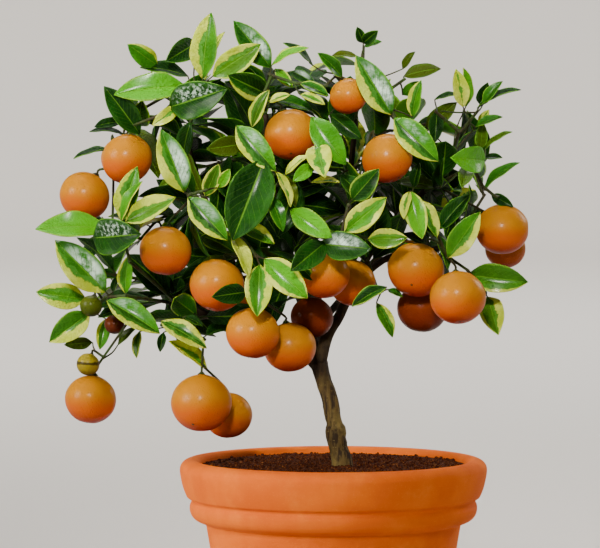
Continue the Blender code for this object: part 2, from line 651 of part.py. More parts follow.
class Leaf:
    """A blade from its root in the wood, over the blade's base, to its tip."""

    def __init__(self, root, base, tip, normal, width):
        self.root, self.base, self.tip, self.width = root, base, tip, width
        self.stations = SMALL_STATIONS if width < SMALL_WIDTH else STATIONS
        self.along = (tip - base).normalized()
        self.up = (normal - self.along * normal.dot(self.along)).normalized()
        self.left = self.up.cross(self.along)

    def turned_up(self, way):
        """The blade's upright, turned with the stalk until the stalk runs this way."""
        return self.along.rotation_difference(way) @ self.up

    def stalk(self):
        """The two points of the root and, on a long stalk, the cross-section at the blade's base."""
        way = self.base - self.root
        if way.length <= LONGEST_PETIOLE:
            way = self.base.lerp(self.tip, self.stations[0][0]) - self.root
            rib = self.turned_up(way.normalized()) * STALK_HALF
            return [self.root + rib, self.root - rib], []
        root_rib = self.turned_up(way.normalized()) * STALK_HALF
        turn = (way.normalized() + self.along).normalized()
        rib = self.turned_up(turn) * STALK_HALF
        edge = rib.cross(turn)
        ring = [self.base + edge, self.base + rib, self.base - edge, self.base - rib]
        return [self.root + root_rib, self.root - root_rib], [ring]

    def blade(self, spread):
        """Cross-sections of the blade: left edge, top of the rib, right edge, underside of the rib."""
        length = (self.tip - self.base).length
        found = []
        for share, half_share in self.stations:
            half = half_share * self.width / 2
            arch = self.up * (ARCH * length * math.sin(math.pi * share))
            middle = self.base.lerp(self.tip, share) + arch
            across, lift = self.left * (half + spread), self.up * (FOLD * half)
            rib = self.up * (RIB_THICKNESS / 2 + spread)
            found.append([middle + across + lift, middle + rib, middle - across + lift, middle - rib])
        return found

    def triangles(self, spread=0.0, with_stalk=True):
        """Corner points and triangles, split alike on both faces."""
        rings = self.blade(spread)
        start, faces = [], [(0, 3, 2), (0, 2, 1)]
        if with_stalk:
            start, base_ring = self.stalk()
            rings = base_ring + rings
            faces = [(0, 3, 2), (0, 4, 3), (1, 0, 2), (0, 1, 4), (1, 2, 5), (1, 5, 4)]
        corners = start + [corner for ring in rings for corner in ring]
        corners.append(self.tip + self.along * spread)
        for first in range(len(start), len(corners) - 5, 4):
            left, top, right, under = range(first, first + 4)
            faces += [(left, top, top + 4), (left, top + 4, left + 4)]
            faces += [(top, right, top + 4), (right, right + 4, top + 4)]
            faces += [(right, under, under + 4), (right, under + 4, right + 4)]
            faces += [(under, left, under + 4), (left, left + 4, under + 4)]
        last, tip = len(corners) - 5, len(corners) - 1
        faces += [(last + side, last + (side + 1) % 4, tip) for side in range(4)]
        return corners, faces

    def mesh(self):
        corners, faces = self.triangles()
        mesh = bpy.data.meshes.new("leaf")
        mesh.from_pydata([corner * MM for corner in corners], [], faces)
        return mesh


def normal_towards(point, along, roll):
    """A blade's upper side as it faces the front, rolled to the side that lies nearer the sky."""
    facing = (FRONT_EYE - point).normalized()
    facing = (facing - along * facing.dot(along)).normalized()
    side = along.cross(facing)
    choices = [facing * math.cos(roll) + side * math.sin(roll) * sign for sign in (1, -1)]
    return max(choices, key=lambda normal: normal.z)


def front_leaf(row, own, shift):
    """The leaf of one listed row, moved this far in depth."""
    base_x, base_z, tip_x, tip_z, width, layer = row
    middle_reach = crown_reach((base_x + tip_x) / 2, (base_z + tip_z) / 2)
    depth = -middle_reach + LAYER_DEPTH * layer + shift
    base = seen_at(base_x, base_z, depth + BASE_INSET)
    tip = seen_at(tip_x, tip_z, depth)
    shown = (tip - base).length
    if shown < width / FACING_ASPECT:
        nearer = min(MOST_FORESHORTENING, math.sqrt((width / FACING_ASPECT) ** 2 - shown**2))
        tip = seen_at(tip_x, tip_z, depth - nearer)
    length = (tip - base).length
    real_width = max(width, LEAF_ASPECT * length)
    roll = math.acos(width / real_width)
    along = (tip - base).normalized()
    normal = normal_towards(base, along, roll)
    root = min(own, key=lambda place: (place - base).length - STALK_TURN * (base - place).dot(along))
    return Leaf(root, base, tip, normal, real_width)


class Crown:
    """The leaves so far, and what a new one has to keep clear of."""

    def __init__(self):
        self.trees = []

    def add(self, owner, corners, faces, blade=None):
        box = np.array([tuple(c) for c in corners])
        low, high = box.min(axis=0), box.max(axis=0)
        self.trees.append((owner, low, high, BVHTree.FromPolygons(corners, faces), blade))

    def add_mesh(self, owner, mesh):
        corners = [vertex.co / MM for vertex in mesh.vertices]
        self.add(owner, corners, [tuple(polygon.vertices) for polygon in mesh.polygons])

    def free(self, owner, leaf, own_too):
        corners, faces = leaf.triangles(LEAF_CLEARANCE)
        whole = BVHTree.FromPolygons(corners, faces)
        blade = BVHTree.FromPolygons(*leaf.triangles(0.2, with_stalk=False))
        box = np.array([tuple(c) for c in corners])
        low, high = box.min(axis=0), box.max(axis=0)
        for other, other_low, other_high, tree, other_blade in self.trees:
            if (low > other_high).any() or (high < other_low).any():
                continue
            if other != owner:
                if whole.overlap(tree):
                    return False
            elif own_too and other_blade and blade.overlap(other_blade):
                return False
        return True

    def place(self, owner, leaf):
        blade = BVHTree.FromPolygons(*leaf.triangles(with_stalk=False))
        self.add(owner, *leaf.triangles(), blade)


def inside_outline(x, z):
    """Whether a front place lies within OUTLINE, by counting the edges to its right."""
    inside = False
    for (x1, z1), (x2, z2) in zip(OUTLINE, OUTLINE[1:] + OUTLINE[:1]):
        if (z1 > z) != (z2 > z) and x < x1 + (z - z1) * (x2 - x1) / (z2 - z1):
            inside = not inside
    return inside


def in_place(leaf, fruits):
    """Whether an added leaf keeps within the crown and hides no fruit from the front."""
    for point in (leaf.base, leaf.base.lerp(leaf.tip, 0.5), leaf.tip):
        x, z = shown_at(point)
        if not inside_outline(x, z):
            return False
        reach = crown_reach(x, z)
        if point.y < -reach + LAYER_DEPTH or point.y > reach + FILL_BEYOND:
            return False
        for fruit in fruits:
            fruit_x, fruit_z = shown_at(fruit["centre"])
            behind = point.y > fruit["centre"].y
            if not behind and math.hypot(x - fruit_x, z - fruit_z) < fruit["radius"] + FRUIT_MARGIN:
                return False
    return True


def drawn_leaf(root, way, turn):
    """A leaf that the rule sets on a twig: three draws give its length, direction and roll."""
    length = DRAWS.uniform(*FILL_LENGTHS)
    jitter = DRAWS.uniform(-0.6, 0.6)
    roll = DRAWS.uniform(-0.5, 0.5)
    outward = (root - CROWN_HEART).normalized()
    aside = way.orthogonal().normalized()
    other = way.cross(aside)
    radial = aside * math.cos(turn + jitter) + other * math.sin(turn + jitter)
    along = (way * 0.5 + radial * 0.9 + outward * 0.7 + UP * 0.1).normalized()
    base = root + along * FILL_PETIOLE
    tip = root + along * length
    normal = UP * 0.8 + outward * 0.5 + along.cross(UP) * roll
    return Leaf(root, base, tip, normal, FILL_ASPECT * length)


def add_tree(collection, parent):
    bark = surface("bark", (0.11, 0.065, 0.04), 0.85)
    leaf_green = surface("leaf", (0.07, 0.20, 0.03), 0.35)
    peels = {"orange": surface("orange_peel", (0.90, 0.27, 0.01), 0.3),
             "unripe_orange": surface("unripe_peel", (0.24, 0.28, 0.04), 0.35)}
    fruits = fruit_list()
    tubes, own = grow_all(fruits)
    crown = Crown()

    limbs = [tube_mesh([point[:3] for point in points], [point[3] for point in points],
                       1) for points in LIMBS.values()]
    for spray in SPRAYS:
        start, way, length = stub_of(spray)
        if length:
            limbs.append(tube_mesh([start, start + way * length], [TWIG_RADIUS] * 2, 0))
    trunk = combine(limbs[0], limbs[1:], "UNION")
    crown.add_mesh("trunk", trunk)
    add_object("trunk", trunk, collection, bark, parent)

    for fruit in fruits:
        mesh = turned_mesh(fruit_profile(fruit["radius"]), FRUIT_STEPS[fruit["kind"]])
        item = add_object(fruit["name"], mesh, collection, peels[fruit["kind"]], parent)
        item.location = fruit["centre"] * MM
        item.rotation_mode = "QUATERNION"
        item.rotation_quaternion = UP.rotation_difference(fruit["stem"])
        turn = item.rotation_quaternion.to_matrix()
        corners = [(turn @ vertex.co) / MM + fruit["centre"] for vertex in mesh.vertices]
        crown.add(fruit["name"], corners, [tuple(p.vertices) for p in mesh.polygons])

    pieces = {}
    for spray, paths in tubes.items():
        pieces[spray] = []
        for points, radii in paths:
            mesh = tube_mesh(points, radii, 0)
            crown.add_mesh(spray, mesh)
            pieces[spray].append(mesh)

    for spray in SPRAYS:
        for row in LEAVES.get(spray, ()):
            for own_too, shift in [(mind, s) for mind in (True, False) for s in DEPTH_SHIFTS]:
                leaf = front_leaf(row, own[spray], shift)
                if crown.free(spray, leaf, own_too):
                    crown.place(spray, leaf)
                    pieces[spray].append(leaf.mesh())
                    break

    for spray in SPRAYS:
        added, most = 0, FILL_FRONT if spray in LEAVES else FILL_BACK
        spots = range(FIRST_FILL, len(own[spray]) - 1)
        spread = [spots[int(len(spots) * (step * GOLDEN_SHARE % 1))] for step in range(FILL_SPOTS)]
        for index, spot in enumerate(spread):
            root = own[spray][spot]
            way = (own[spray][spot + 1] - own[spray][spot - 1]).normalized()
            tries = [drawn_leaf(root, way, index * GOLDEN_ANGLE + 2 * step) for step in range(FILL_TRIES)]
            for leaf in tries:
                if added < most and in_place(leaf, fruits) and crown.free(spray, leaf, True):
                    crown.place(spray, leaf)
                    pieces[spray].append(leaf.mesh())
                    added += 1
                    break

    for spray, meshes in pieces.items():
        mesh = combine(meshes[0], meshes[1:], "UNION")
        add_object("spray_" + spray, mesh, collection, leaf_green, parent)


def main():
    for item in list(bpy.data.objects):
        bpy.data.objects.remove(item)
    collection = bpy.data.collections.new("potted_orange_tree")
    bpy.context.scene.collection.children.link(collection)
    parent = bpy.data.objects.new("pot_base_centre", None)
    collection.objects.link(parent)
    add_pot(collection, parent)
    add_soil(collection, parent)
    add_tree(collection, parent)


if __name__ == "__main__":
    main()
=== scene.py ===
"""The looks of a dwarf orange tree in a clay pot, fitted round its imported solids.

Metres, +Z up. The origin is the middle of the pot's base, and the front is seen along +Y.
Listed places are in millimetres, and a front place (x, z) is where a thing shows to FRONT_EYE.
"""

import math
import random

import bmesh
import bpy
import numpy as np
from mathutils import Matrix, Vector, kdtree, noise
from mathutils.bvhtree import BVHTree


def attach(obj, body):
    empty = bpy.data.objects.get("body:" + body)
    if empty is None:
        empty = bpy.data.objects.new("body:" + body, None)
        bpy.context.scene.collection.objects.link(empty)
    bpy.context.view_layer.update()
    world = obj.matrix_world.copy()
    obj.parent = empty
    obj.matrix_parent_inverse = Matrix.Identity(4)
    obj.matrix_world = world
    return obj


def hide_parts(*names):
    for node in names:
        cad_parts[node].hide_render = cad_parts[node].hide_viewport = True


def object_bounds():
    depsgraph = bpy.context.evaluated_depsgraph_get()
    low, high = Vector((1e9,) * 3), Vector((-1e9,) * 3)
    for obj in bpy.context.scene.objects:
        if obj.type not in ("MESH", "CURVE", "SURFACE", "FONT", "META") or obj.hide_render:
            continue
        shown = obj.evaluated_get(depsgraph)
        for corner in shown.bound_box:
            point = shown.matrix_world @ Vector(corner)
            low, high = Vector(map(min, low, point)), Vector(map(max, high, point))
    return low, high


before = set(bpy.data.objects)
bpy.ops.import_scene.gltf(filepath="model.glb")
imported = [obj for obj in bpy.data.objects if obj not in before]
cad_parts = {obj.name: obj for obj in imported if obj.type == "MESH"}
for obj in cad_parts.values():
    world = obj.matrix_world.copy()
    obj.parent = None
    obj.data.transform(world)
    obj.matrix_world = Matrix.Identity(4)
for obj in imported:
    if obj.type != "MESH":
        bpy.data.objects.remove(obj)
cad_low, cad_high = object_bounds()


# Pot
# One turned piece of fired red clay, with a rolled lip over a deep flared rim, then a groove and a
# half-round bead. It stands on its flat base, which has three drain holes.

MM = 0.001
POT_TURNS = 144
LINE_STEPS = 4
DRAIN_RADIUS, DRAIN_CIRCLE, DRAIN_COUNT = 6.5, 32, 3
FLOOR_THICKNESS = 12
CLAY = (0.860, 0.175, 0.006)
CLAY_DEEP = (0.700, 0.115, 0.003)
CLAY_PALE = (0.900, 0.270, 0.030)


def softened(points, steps=LINE_STEPS):
    """More points on a smooth line through these, as tuples of any length."""
    spots = [np.array(point, float) for point in points]
    ends = [2 * spots[0] - spots[1]] + spots + [2 * spots[-1] - spots[-2]]
    found = []
    for before, start, end, after in zip(ends, ends[1:], ends[2:], ends[3:]):
        for step in range(steps):
            t = step / steps
            found.append(0.5 * (2 * start + (end - before) * t
                                + (2 * before - 5 * start + 4 * end - after) * t**2
                                + (3 * start - before - 3 * end + after) * t**3))
    return [tuple(float(value) for value in spot) for spot in found + [spots[-1]]]


def turned(profile, steps):
    """A bmesh turned round Z from a profile of (radius, height) in millimetres."""
    shape = bmesh.new()
    spots = [shape.verts.new((radius * MM, 0, height * MM)) for radius, height in profile]
    lines = [shape.edges.new(pair) for pair in zip(spots, spots[1:])]
    bmesh.ops.spin(shape, geom=spots + lines, axis=(0, 0, 1), cent=(0, 0, 0), angle=math.tau,
                   steps=steps, use_merge=True)
    bmesh.ops.remove_doubles(shape, verts=shape.verts, dist=0.000001)
    bmesh.ops.recalc_face_normals(shape, faces=shape.faces)
    return shape


def keep_inside(mesh, margin=0.0):
    """Holds every point of a mesh within the solids' box."""
    places = np.empty(len(mesh.vertices) * 3, np.float32)
    mesh.vertices.foreach_get("co", places)
    places = places.reshape(-1, 3)
    low, high = np.array(cad_low) + margin, np.array(cad_high) - margin
    mesh.vertices.foreach_set("co", np.clip(places, low, high).ravel())


def finished(name, shape, material, slot, *nodes, sharp=40, margin=0.0):
    """The piece of this bmesh, smooth but for its sharp edges, in place of these solids."""
    mesh = bpy.data.meshes.new(name)
    shape.to_mesh(mesh)
    shape.free()
    keep_inside(mesh, margin)
    mesh.materials.append(material)
    mesh.shade_smooth()
    if sharp:
        mesh.set_sharp_from_angle(angle=math.radians(sharp))
    piece = bpy.data.objects.new(name, mesh)
    bpy.context.scene.collection.objects.link(piece)
    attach(piece, "root")
    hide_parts(*nodes)
    return piece


def new_material(name, roughness, **values):
    """A material's node tree and its shader. Named values go on the shader's own sockets."""
    material = bpy.data.materials.new(name)
    material.use_nodes = True
    tree = material.node_tree
    shader = tree.nodes["Principled BSDF"]
    shader.inputs["Roughness"].default_value = roughness
    for key, value in values.items():
        shader.inputs[key.replace("_", " ")].default_value = value
    return material, tree, shader


def put(tree, socket, value):
    """Links a socket to an output, or sets its value."""
    if isinstance(value, bpy.types.NodeSocket):
        tree.links.new(value, socket)
    elif hasattr(socket.default_value, "__len__") and len(value) < len(socket.default_value):
        socket.default_value = (*value, 1)
    else:
        socket.default_value = value


def places_of(tree, stretch=(1, 1, 1)):
    """The place on the object, with each axis counted this many times."""
    spot = tree.nodes.new("ShaderNodeTexCoord").outputs["Object"]
    if stretch == (1, 1, 1):
        return spot
    mapping = tree.nodes.new("ShaderNodeMapping")
    mapping.inputs["Scale"].default_value = stretch
    tree.links.new(spot, mapping.inputs["Vector"])
    return mapping.outputs["Vector"]


def mottle(tree, place, scale, detail=3, roughness=0.55):
    """Cloudy noise from 0 to 1, with this many clouds to a metre."""
    node = tree.nodes.new("ShaderNodeTexNoise")
    tree.links.new(place, node.inputs["Vector"])
    node.inputs["Scale"].default_value = scale
    node.inputs["Detail"].default_value = detail
    node.inputs["Roughness"].default_value = roughness
    return node.outputs["Fac"]


def cells(tree, place, scale, feature="F1"):
    """The distance to the middle of the nearest of this many cells to a metre."""
    node = tree.nodes.new("ShaderNodeTexVoronoi")
    node.feature = feature
    tree.links.new(place, node.inputs["Vector"])
    node.inputs["Scale"].default_value = scale
    return node.outputs["Distance"]


def maths(tree, operation, *values, clamp=False):
    node = tree.nodes.new("ShaderNodeMath")
    node.operation = operation
    node.use_clamp = clamp
    for socket, value in zip(node.inputs, values):
        put(tree, socket, value)
    return node.outputs[0]


def step_up(tree, value, low, high):
    """0 below low and 1 above high, with a smooth rise between them."""
    node = tree.nodes.new("ShaderNodeMapRange")
    node.interpolation_type = "SMOOTHSTEP"
    for name, given in (("Value", value), ("From Min", low), ("From Max", high)):
        put(tree, node.inputs[name], given)
    return node.outputs["Result"]


def mixed(tree, share, first, second, blend="MIX"):
    """Two colours mixed by a share of the second."""
    node = tree.nodes.new("ShaderNodeMix")
    node.data_type = "RGBA"
    node.blend_type = blend
    for socket, value in zip((node.inputs[0], node.inputs[6], node.inputs[7]), (share, first, second)):
        put(tree, socket, value)
    return node.outputs[2]


def raised(tree, shader, height, depth, under=None):
    """Bumps of this depth in metres, on top of other bumps."""
    node = tree.nodes.new("ShaderNodeBump")
    node.inputs["Strength"].default_value = 1
    node.inputs["Distance"].default_value = depth
    tree.links.new(height, node.inputs["Height"])
    if under:
        tree.links.new(under, node.inputs["Normal"])
    tree.links.new(node.outputs["Normal"], shader.inputs["Normal"])
    return node.outputs["Normal"]


def clay_material():
    """Dry terracotta: cloudy red-orange with paler bloom, faint turning lines and a sandy grain."""
    material, tree, shader = new_material("terracotta", 0.80, Specular_IOR_Level=0.12)
    place = places_of(tree)
    rings = mottle(tree, places_of(tree, (0.05, 0.05, 1)), 420, 4)
    clouds = mottle(tree, place, 16, 5)
    bloom_and_painted_glare = step_up(tree, mottle(tree, place, 31, 6, 0.65), 0.52, 0.74)
    colour = mixed(tree, step_up(tree, clouds, 0.35, 0.68), CLAY_DEEP, CLAY)
    colour = mixed(tree, maths(tree, "MULTIPLY", bloom_and_painted_glare, 0.30), colour, CLAY_PALE)
    colour = mixed(tree, maths(tree, "MULTIPLY", rings, 0.22), colour, CLAY_DEEP)
    grains = step_up(tree, mottle(tree, place, 900, 2), 0.60, 0.70)
    colour = mixed(tree, maths(tree, "MULTIPLY", grains, 0.25), colour, CLAY_PALE)
    tree.links.new(colour, shader.inputs["Base Color"])
    lines = raised(tree, shader, rings, 0.0004)
    raised(tree, shader, mottle(tree, place, 1100, 4), 0.00035, lines)
    return material


inside = [(0, FLOOR_THICKNESS), (40, FLOOR_THICKNESS), (61, FLOOR_THICKNESS), (64.5, 14), (80, 96),
          (98.2, 190), (107.2, 213)]
lip = [(108.6, 218), (109.4, 221.5), (111.2, 224.0), (113.7, 224.9), (116, 225), (119.5, 224.3),
       (122.6, 222.4), (124.5, 219.6), (125, 216.5)]
rim = [(124.7, 213), (123.9, 208.5), (122.6, 203), (121, 198.5), (119.6, 195.3), (118.6, 194.1),
       (117.1, 193.3), (115.9, 192.1)]
bead = [(115.6, 190.6), (116.3, 189.2), (116.9, 187.3), (117, 185), (116.6, 182.3), (115.4, 179.4),
        (113.2, 176.9), (110, 175.1), (106.4, 174), (104.3, 172.8)]
body = [(103.4, 170), (96.6, 130), (89.6, 88), (82.4, 45), (76.2, 8), (75.1, 2.6), (74.3, 0.8), (72.6, 0),
        (60, 0), (0, 0)]
pot_shape = turned([(0, FLOOR_THICKNESS)] + softened(inside[1:] + lip + rim + bead + body[:-2])
                   + [(60, 0), (0, 0)], POT_TURNS)
pot = finished("pot_clay", pot_shape, clay_material(), "terracotta", "pot", sharp=50)
hole_shape = bmesh.new()
for number in range(DRAIN_COUNT):
    angle = math.tau * (number + 0.25) / DRAIN_COUNT
    middle = Matrix.Translation(Vector((math.cos(angle), math.sin(angle), 0)) * DRAIN_CIRCLE * MM)
    bmesh.ops.create_cone(hole_shape, cap_ends=True, segments=32, radius1=DRAIN_RADIUS * MM,
                          radius2=DRAIN_RADIUS * MM, depth=3 * FLOOR_THICKNESS * MM, matrix=middle)
hole_mesh = bpy.data.meshes.new("drain_holes")
hole_shape.to_mesh(hole_mesh)
hole_shape.free()
holes = bpy.data.objects.new("drain_holes", hole_mesh)
bpy.context.scene.collection.objects.link(holes)
cut = pot.modifiers.new("drain", "BOOLEAN")
cut.operation = "DIFFERENCE"
cut.object = holes
bpy.context.view_layer.update()
cut_mesh = bpy.data.meshes.new_from_object(pot.evaluated_get(bpy.context.evaluated_depsgraph_get()))
pot.modifiers.remove(cut)
bpy.data.objects.remove(holes)
pot.data = cut_mesh


# Soil
# Dark, crumbly potting mix of bark and peat that fills the pot to just under its lip. Loose crumbs
# lie on it, and the trunk's foot stands in it.

SOIL_EDGE_HEIGHT = 219.4
SOIL_HEAP = 1.6
SOIL_REACH = 108.0
CRUMBS = 1500
CRUMB_SIZES = (0.7, 2.2)
EARTH = (0.120, 0.030, 0.006)
EARTH_DARK = (0.036, 0.009, 0.003)
EARTH_PALE = (0.240, 0.080, 0.020)
crumb_draws = random.Random(11)


def soil_height(x, y):
    """How far the crumbly top stands above the soil's edge, at a place in metres."""
    distance = math.hypot(x, y) / (SOIL_REACH * MM)
    crumbs = math.sin(310 * x + 1.3) * math.cos(270 * y - 0.4) + 0.6 * math.sin(520 * x - 430 * y)
    fine = 1.1 * noise.noise(Vector((x, y, 0)) * 160) + 0.7 * noise.noise(Vector((x, y, 5)) * 420)
    heap = SOIL_HEAP * (1 - distance**2) + (0.55 * crumbs + fine) * min(1, 4 * (1 - distance))
    return heap * MM


def earth_material():
    """Damp potting mix: near black with paler, fibrous flecks, and no shine."""
    material, tree, shader = new_material("potting_mix", 0.96, Specular_IOR_Level=0.08)
    place = places_of(tree)
    lumps = cells(tree, place, 420)
    colour = mixed(tree, step_up(tree, lumps, 0.1, 0.6), EARTH, EARTH_DARK)
    flecks = step_up(tree, mottle(tree, place, 520, 2), 0.60, 0.68)
    colour = mixed(tree, flecks, colour, EARTH_PALE)
    tree.links.new(colour, shader.inputs["Base Color"])
    raised(tree, shader, mottle(tree, place, 700, 5), 0.0012)
    return material


soil_wall = [(0, 12.4), (63.6, 12.4), (97.2, 190), (SOIL_REACH, 212), (SOIL_REACH + 0.3, SOIL_EDGE_HEIGHT)]
soil_top = [(SOIL_REACH * (1 - share / 40), SOIL_EDGE_HEIGHT) for share in range(1, 40)]
soil_top.append((0, SOIL_EDGE_HEIGHT))
soil_shape = turned(soil_wall + soil_top, 160)
for spot in soil_shape.verts:
    if spot.co.z > (SOIL_EDGE_HEIGHT - 0.1) * MM:
        spot.co.z += soil_height(spot.co.x, spot.co.y)
for number in range(CRUMBS):
    away = SOIL_REACH * math.sqrt(crumb_draws.random()) * 0.985
    round_way = crumb_draws.uniform(0, math.tau)
    x, y = away * math.cos(round_way) * MM, away * math.sin(round_way) * MM
    size = crumb_draws.uniform(*CRUMB_SIZES) * MM
    height = SOIL_EDGE_HEIGHT * MM + soil_height(x, y) + 0.25 * size
    turn = Matrix.Rotation(crumb_draws.uniform(0, math.tau), 4, (x + 0.01, y, 0.03))
    squash = Matrix.Diagonal((1, crumb_draws.uniform(0.5, 1), crumb_draws.uniform(0.4, 0.9), 1))
    bmesh.ops.create_icosphere(soil_shape, subdivisions=1, radius=size,
                               matrix=Matrix.Translation((x, y, height)) @ turn @ squash)
soil = finished("soil_crumbs", soil_shape, earth_material(), "soil", "soil", sharp=60)


# Trunk and limbs
# One grafted trunk of smooth grey-brown bark, with a knob and a slanting scar where the bud was
# set. It forks low, and each limb grows out of the wood below it.

LIMBS = {
    "trunk": ((7, -15, 150, 8.3), (7, -15, 200, 8.5), (6.9, -15, 223.5, 8.5), (4.2, -14, 234, 7.6),
              (2.4, -14, 243, 8.2), (1.4, -13.5, 250, 8.5), (0, -13, 257, 6.6), (-2.8, -12, 274, 6.8),
              (-8.5, -11, 291, 6.4), (-12, -10, 304, 7.3)),
    "left": ((-12, -10, 300, 5.4), (-26, -8, 314, 4.6), (-52, -4, 325, 4.0), (-88, -2, 338, 3.4),
             (-132, -8, 352, 2.6)),
    "upper_left": ((-44, -5.5, 322, 3.4), (-64, 8, 352, 3.3), (-88, 12, 395, 3.0), (-106, 8, 440, 2.6),
                   (-118, 2, 480, 2.1)),
    "middle": ((-12.5, -9, 302, 5.2), (-20, 4, 335, 4.3), (-32, 10, 372, 3.8), (-44, 8, 420, 3.2),
               (-52, 2, 470, 2.6), (-55, 0, 505, 2.1)),
    "right": ((-12, -10, 301, 5.6), (-5, -5, 326, 4.9), (5, 1, 342, 4.3), (17, 8, 368, 3.8),
              (34, 10, 400, 3.4), (60, 8, 430, 2.8), (88, 2, 455, 2.1)),
    "upper_right": ((16, 7, 366, 3.0), (16, 12, 410, 2.9), (14, 8, 455, 2.5), (18, 0, 500, 2.1)),
    "low_right": ((16.5, 7.5, 367, 3.2), (40, 10, 386, 2.9), (60, 4, 392, 2.5), (82, -4, 395, 2.1)),
    "back": ((-12.5, -8, 304, 4.4), (-14, 28, 335, 3.8), (-22, 62, 372, 3.1), (-34, 88, 415, 2.1)),
    "back_right": ((-13, 24, 331, 3.0), (18, 56, 365, 2.9), (48, 74, 400, 2.5), (66, 80, 440, 2.1)),
    "back_left": ((-21, 58, 368, 2.8), (-66, 74, 398, 2.7), (-104, 76, 425, 2.4), (-128, 68, 455, 2.1)),
}
TRUNK_SIDES = 20
RING_SPACING = 3.5
SCAR_HEIGHT = 250
BARK = (0.120, 0.078, 0.022)
BARK_DARK = (0.026, 0.016, 0.008)
# Painted shade colour, for the bark from just under the fork up
BARK_PAINTED_SHADE = (0.016, 0.009, 0.005)
BARK_PALE = (0.230, 0.165, 0.042)


def grow_tube(shape, points, radii, sides):
    """Adds a closed tube through these points in metres, one ring of edges drawn out to the next."""
    ways = [(end - start).normalized() for start, end in zip(points, points[1:])]
    ways = [ways[0]] + [(a + b).normalized() for a, b in zip(ways, ways[1:])] + [ways[-1]]
    turn = Vector((0, 0, 1)).rotation_difference(ways[0]).to_matrix().to_4x4()
    first = bmesh.ops.create_circle(shape, cap_ends=False, segments=sides, radius=radii[0],
                                    matrix=Matrix.Translation(points[0]) @ turn)["verts"]
    ring = list({edge for spot in first for edge in spot.link_edges})
    foot, spots = ring, list(first)
    for index in range(1, len(points)):
        drawn = bmesh.ops.extrude_edge_only(shape, edges=ring)["geom"]
        ring = [item for item in drawn if isinstance(item, bmesh.types.BMEdge)]
        moved = [item for item in drawn if isinstance(item, bmesh.types.BMVert)]
        bend = ways[index - 1].rotation_difference(ways[index]).to_matrix().to_4x4()
        size = Matrix.Scale(radii[index] / radii[index - 1], 4)
        place = Matrix.Translation(points[index]) @ bend @ size @ Matrix.Translation(-points[index - 1])
        bmesh.ops.transform(shape, matrix=place, verts=moved)
        spots += moved
    bmesh.ops.edgeloop_fill(shape, edges=foot)
    bmesh.ops.edgeloop_fill(shape, edges=ring)
    return spots


def bark_material():
    """Thin citrus bark: long dark streaks, olive where the light has reached it, pale pores, and painted
    shade that turns it near black from just under the fork up.
    """
    material, tree, shader = new_material("citrus_bark", 0.8, Specular_IOR_Level=0.2)
    place = places_of(tree)
    streaks = mottle(tree, places_of(tree, (1, 1, 0.16)), 330, 5, 0.6)
    patches = mottle(tree, place, 48, 4)
    colour = mixed(tree, step_up(tree, streaks, 0.40, 0.62), BARK_DARK, BARK)
    colour = mixed(tree, maths(tree, "MULTIPLY", step_up(tree, patches, 0.48, 0.66), 0.7), colour, BARK_PALE)
    pores = step_up(tree, cells(tree, places_of(tree, (1, 1, 1.8)), 260), 0.20, 0.10)
    colour = mixed(tree, maths(tree, "MULTIPLY", pores, 0.6), colour, BARK_PALE)
    # Painted shade: the bark goes near black from just under the fork up, where the crown hangs over it.
    height = tree.nodes.new("ShaderNodeSeparateXYZ")
    tree.links.new(place, height.inputs[0])
    painted_shade_above_fork = step_up(tree, height.outputs["Z"], 0.272, 0.302)
    colour = mixed(tree, maths(tree, "MULTIPLY", painted_shade_above_fork, 0.85), colour, BARK_PAINTED_SHADE)
    tree.links.new(colour, shader.inputs["Base Color"])
    deep = raised(tree, shader, streaks, 0.0016)
    raised(tree, shader, mottle(tree, place, 800, 4), 0.0005, deep)
    return material


trunk_shape = bmesh.new()
for name, points in LIMBS.items():
    steps = max(2, round(math.dist(points[0][:3], points[1][:3]) / RING_SPACING / 2))
    line = softened(points, steps)
    spots = [Vector(point[:3]) * MM for point in line]
    radii = [point[3] * MM for point in line]
    grown = grow_tube(trunk_shape, spots, radii, TRUNK_SIDES if name == "trunk" else 14)
    for spot in grown:
        place = spot.co / MM
        middle = min(spots, key=lambda point: (point - spot.co).length_squared)
        out = (spot.co - middle).normalized()
        ridge = noise.noise(Vector((place.x, place.y, place.z * 0.2)) * 0.35)
        ridge += 0.6 * noise.noise(Vector((place.x, place.y, place.z * 0.3)) * 0.9)
        scar = math.exp(-((place.z - SCAR_HEIGHT + 0.7 * (place.x - 1)) / 2.6) ** 2) if name == "trunk" else 0
        thick = 0.45 if name == "trunk" else 0.22
        spot.co += out * (thick * ridge - 0.9 * scar + (0.25 if scar > 0.05 else 0)) * MM
bmesh.ops.recalc_face_normals(trunk_shape, faces=trunk_shape.faces)
wood_bark = bark_material()
finished("trunk_bark", trunk_shape, wood_bark, "bark", "trunk", sharp=0)


# Twigs
# Green-brown shoots that fork out of the limbs, with a finer stalk to each fruit. A stalk ends in a
# five-lobed calyx on top of its fruit. A leaf's own stalk springs from the same wood.

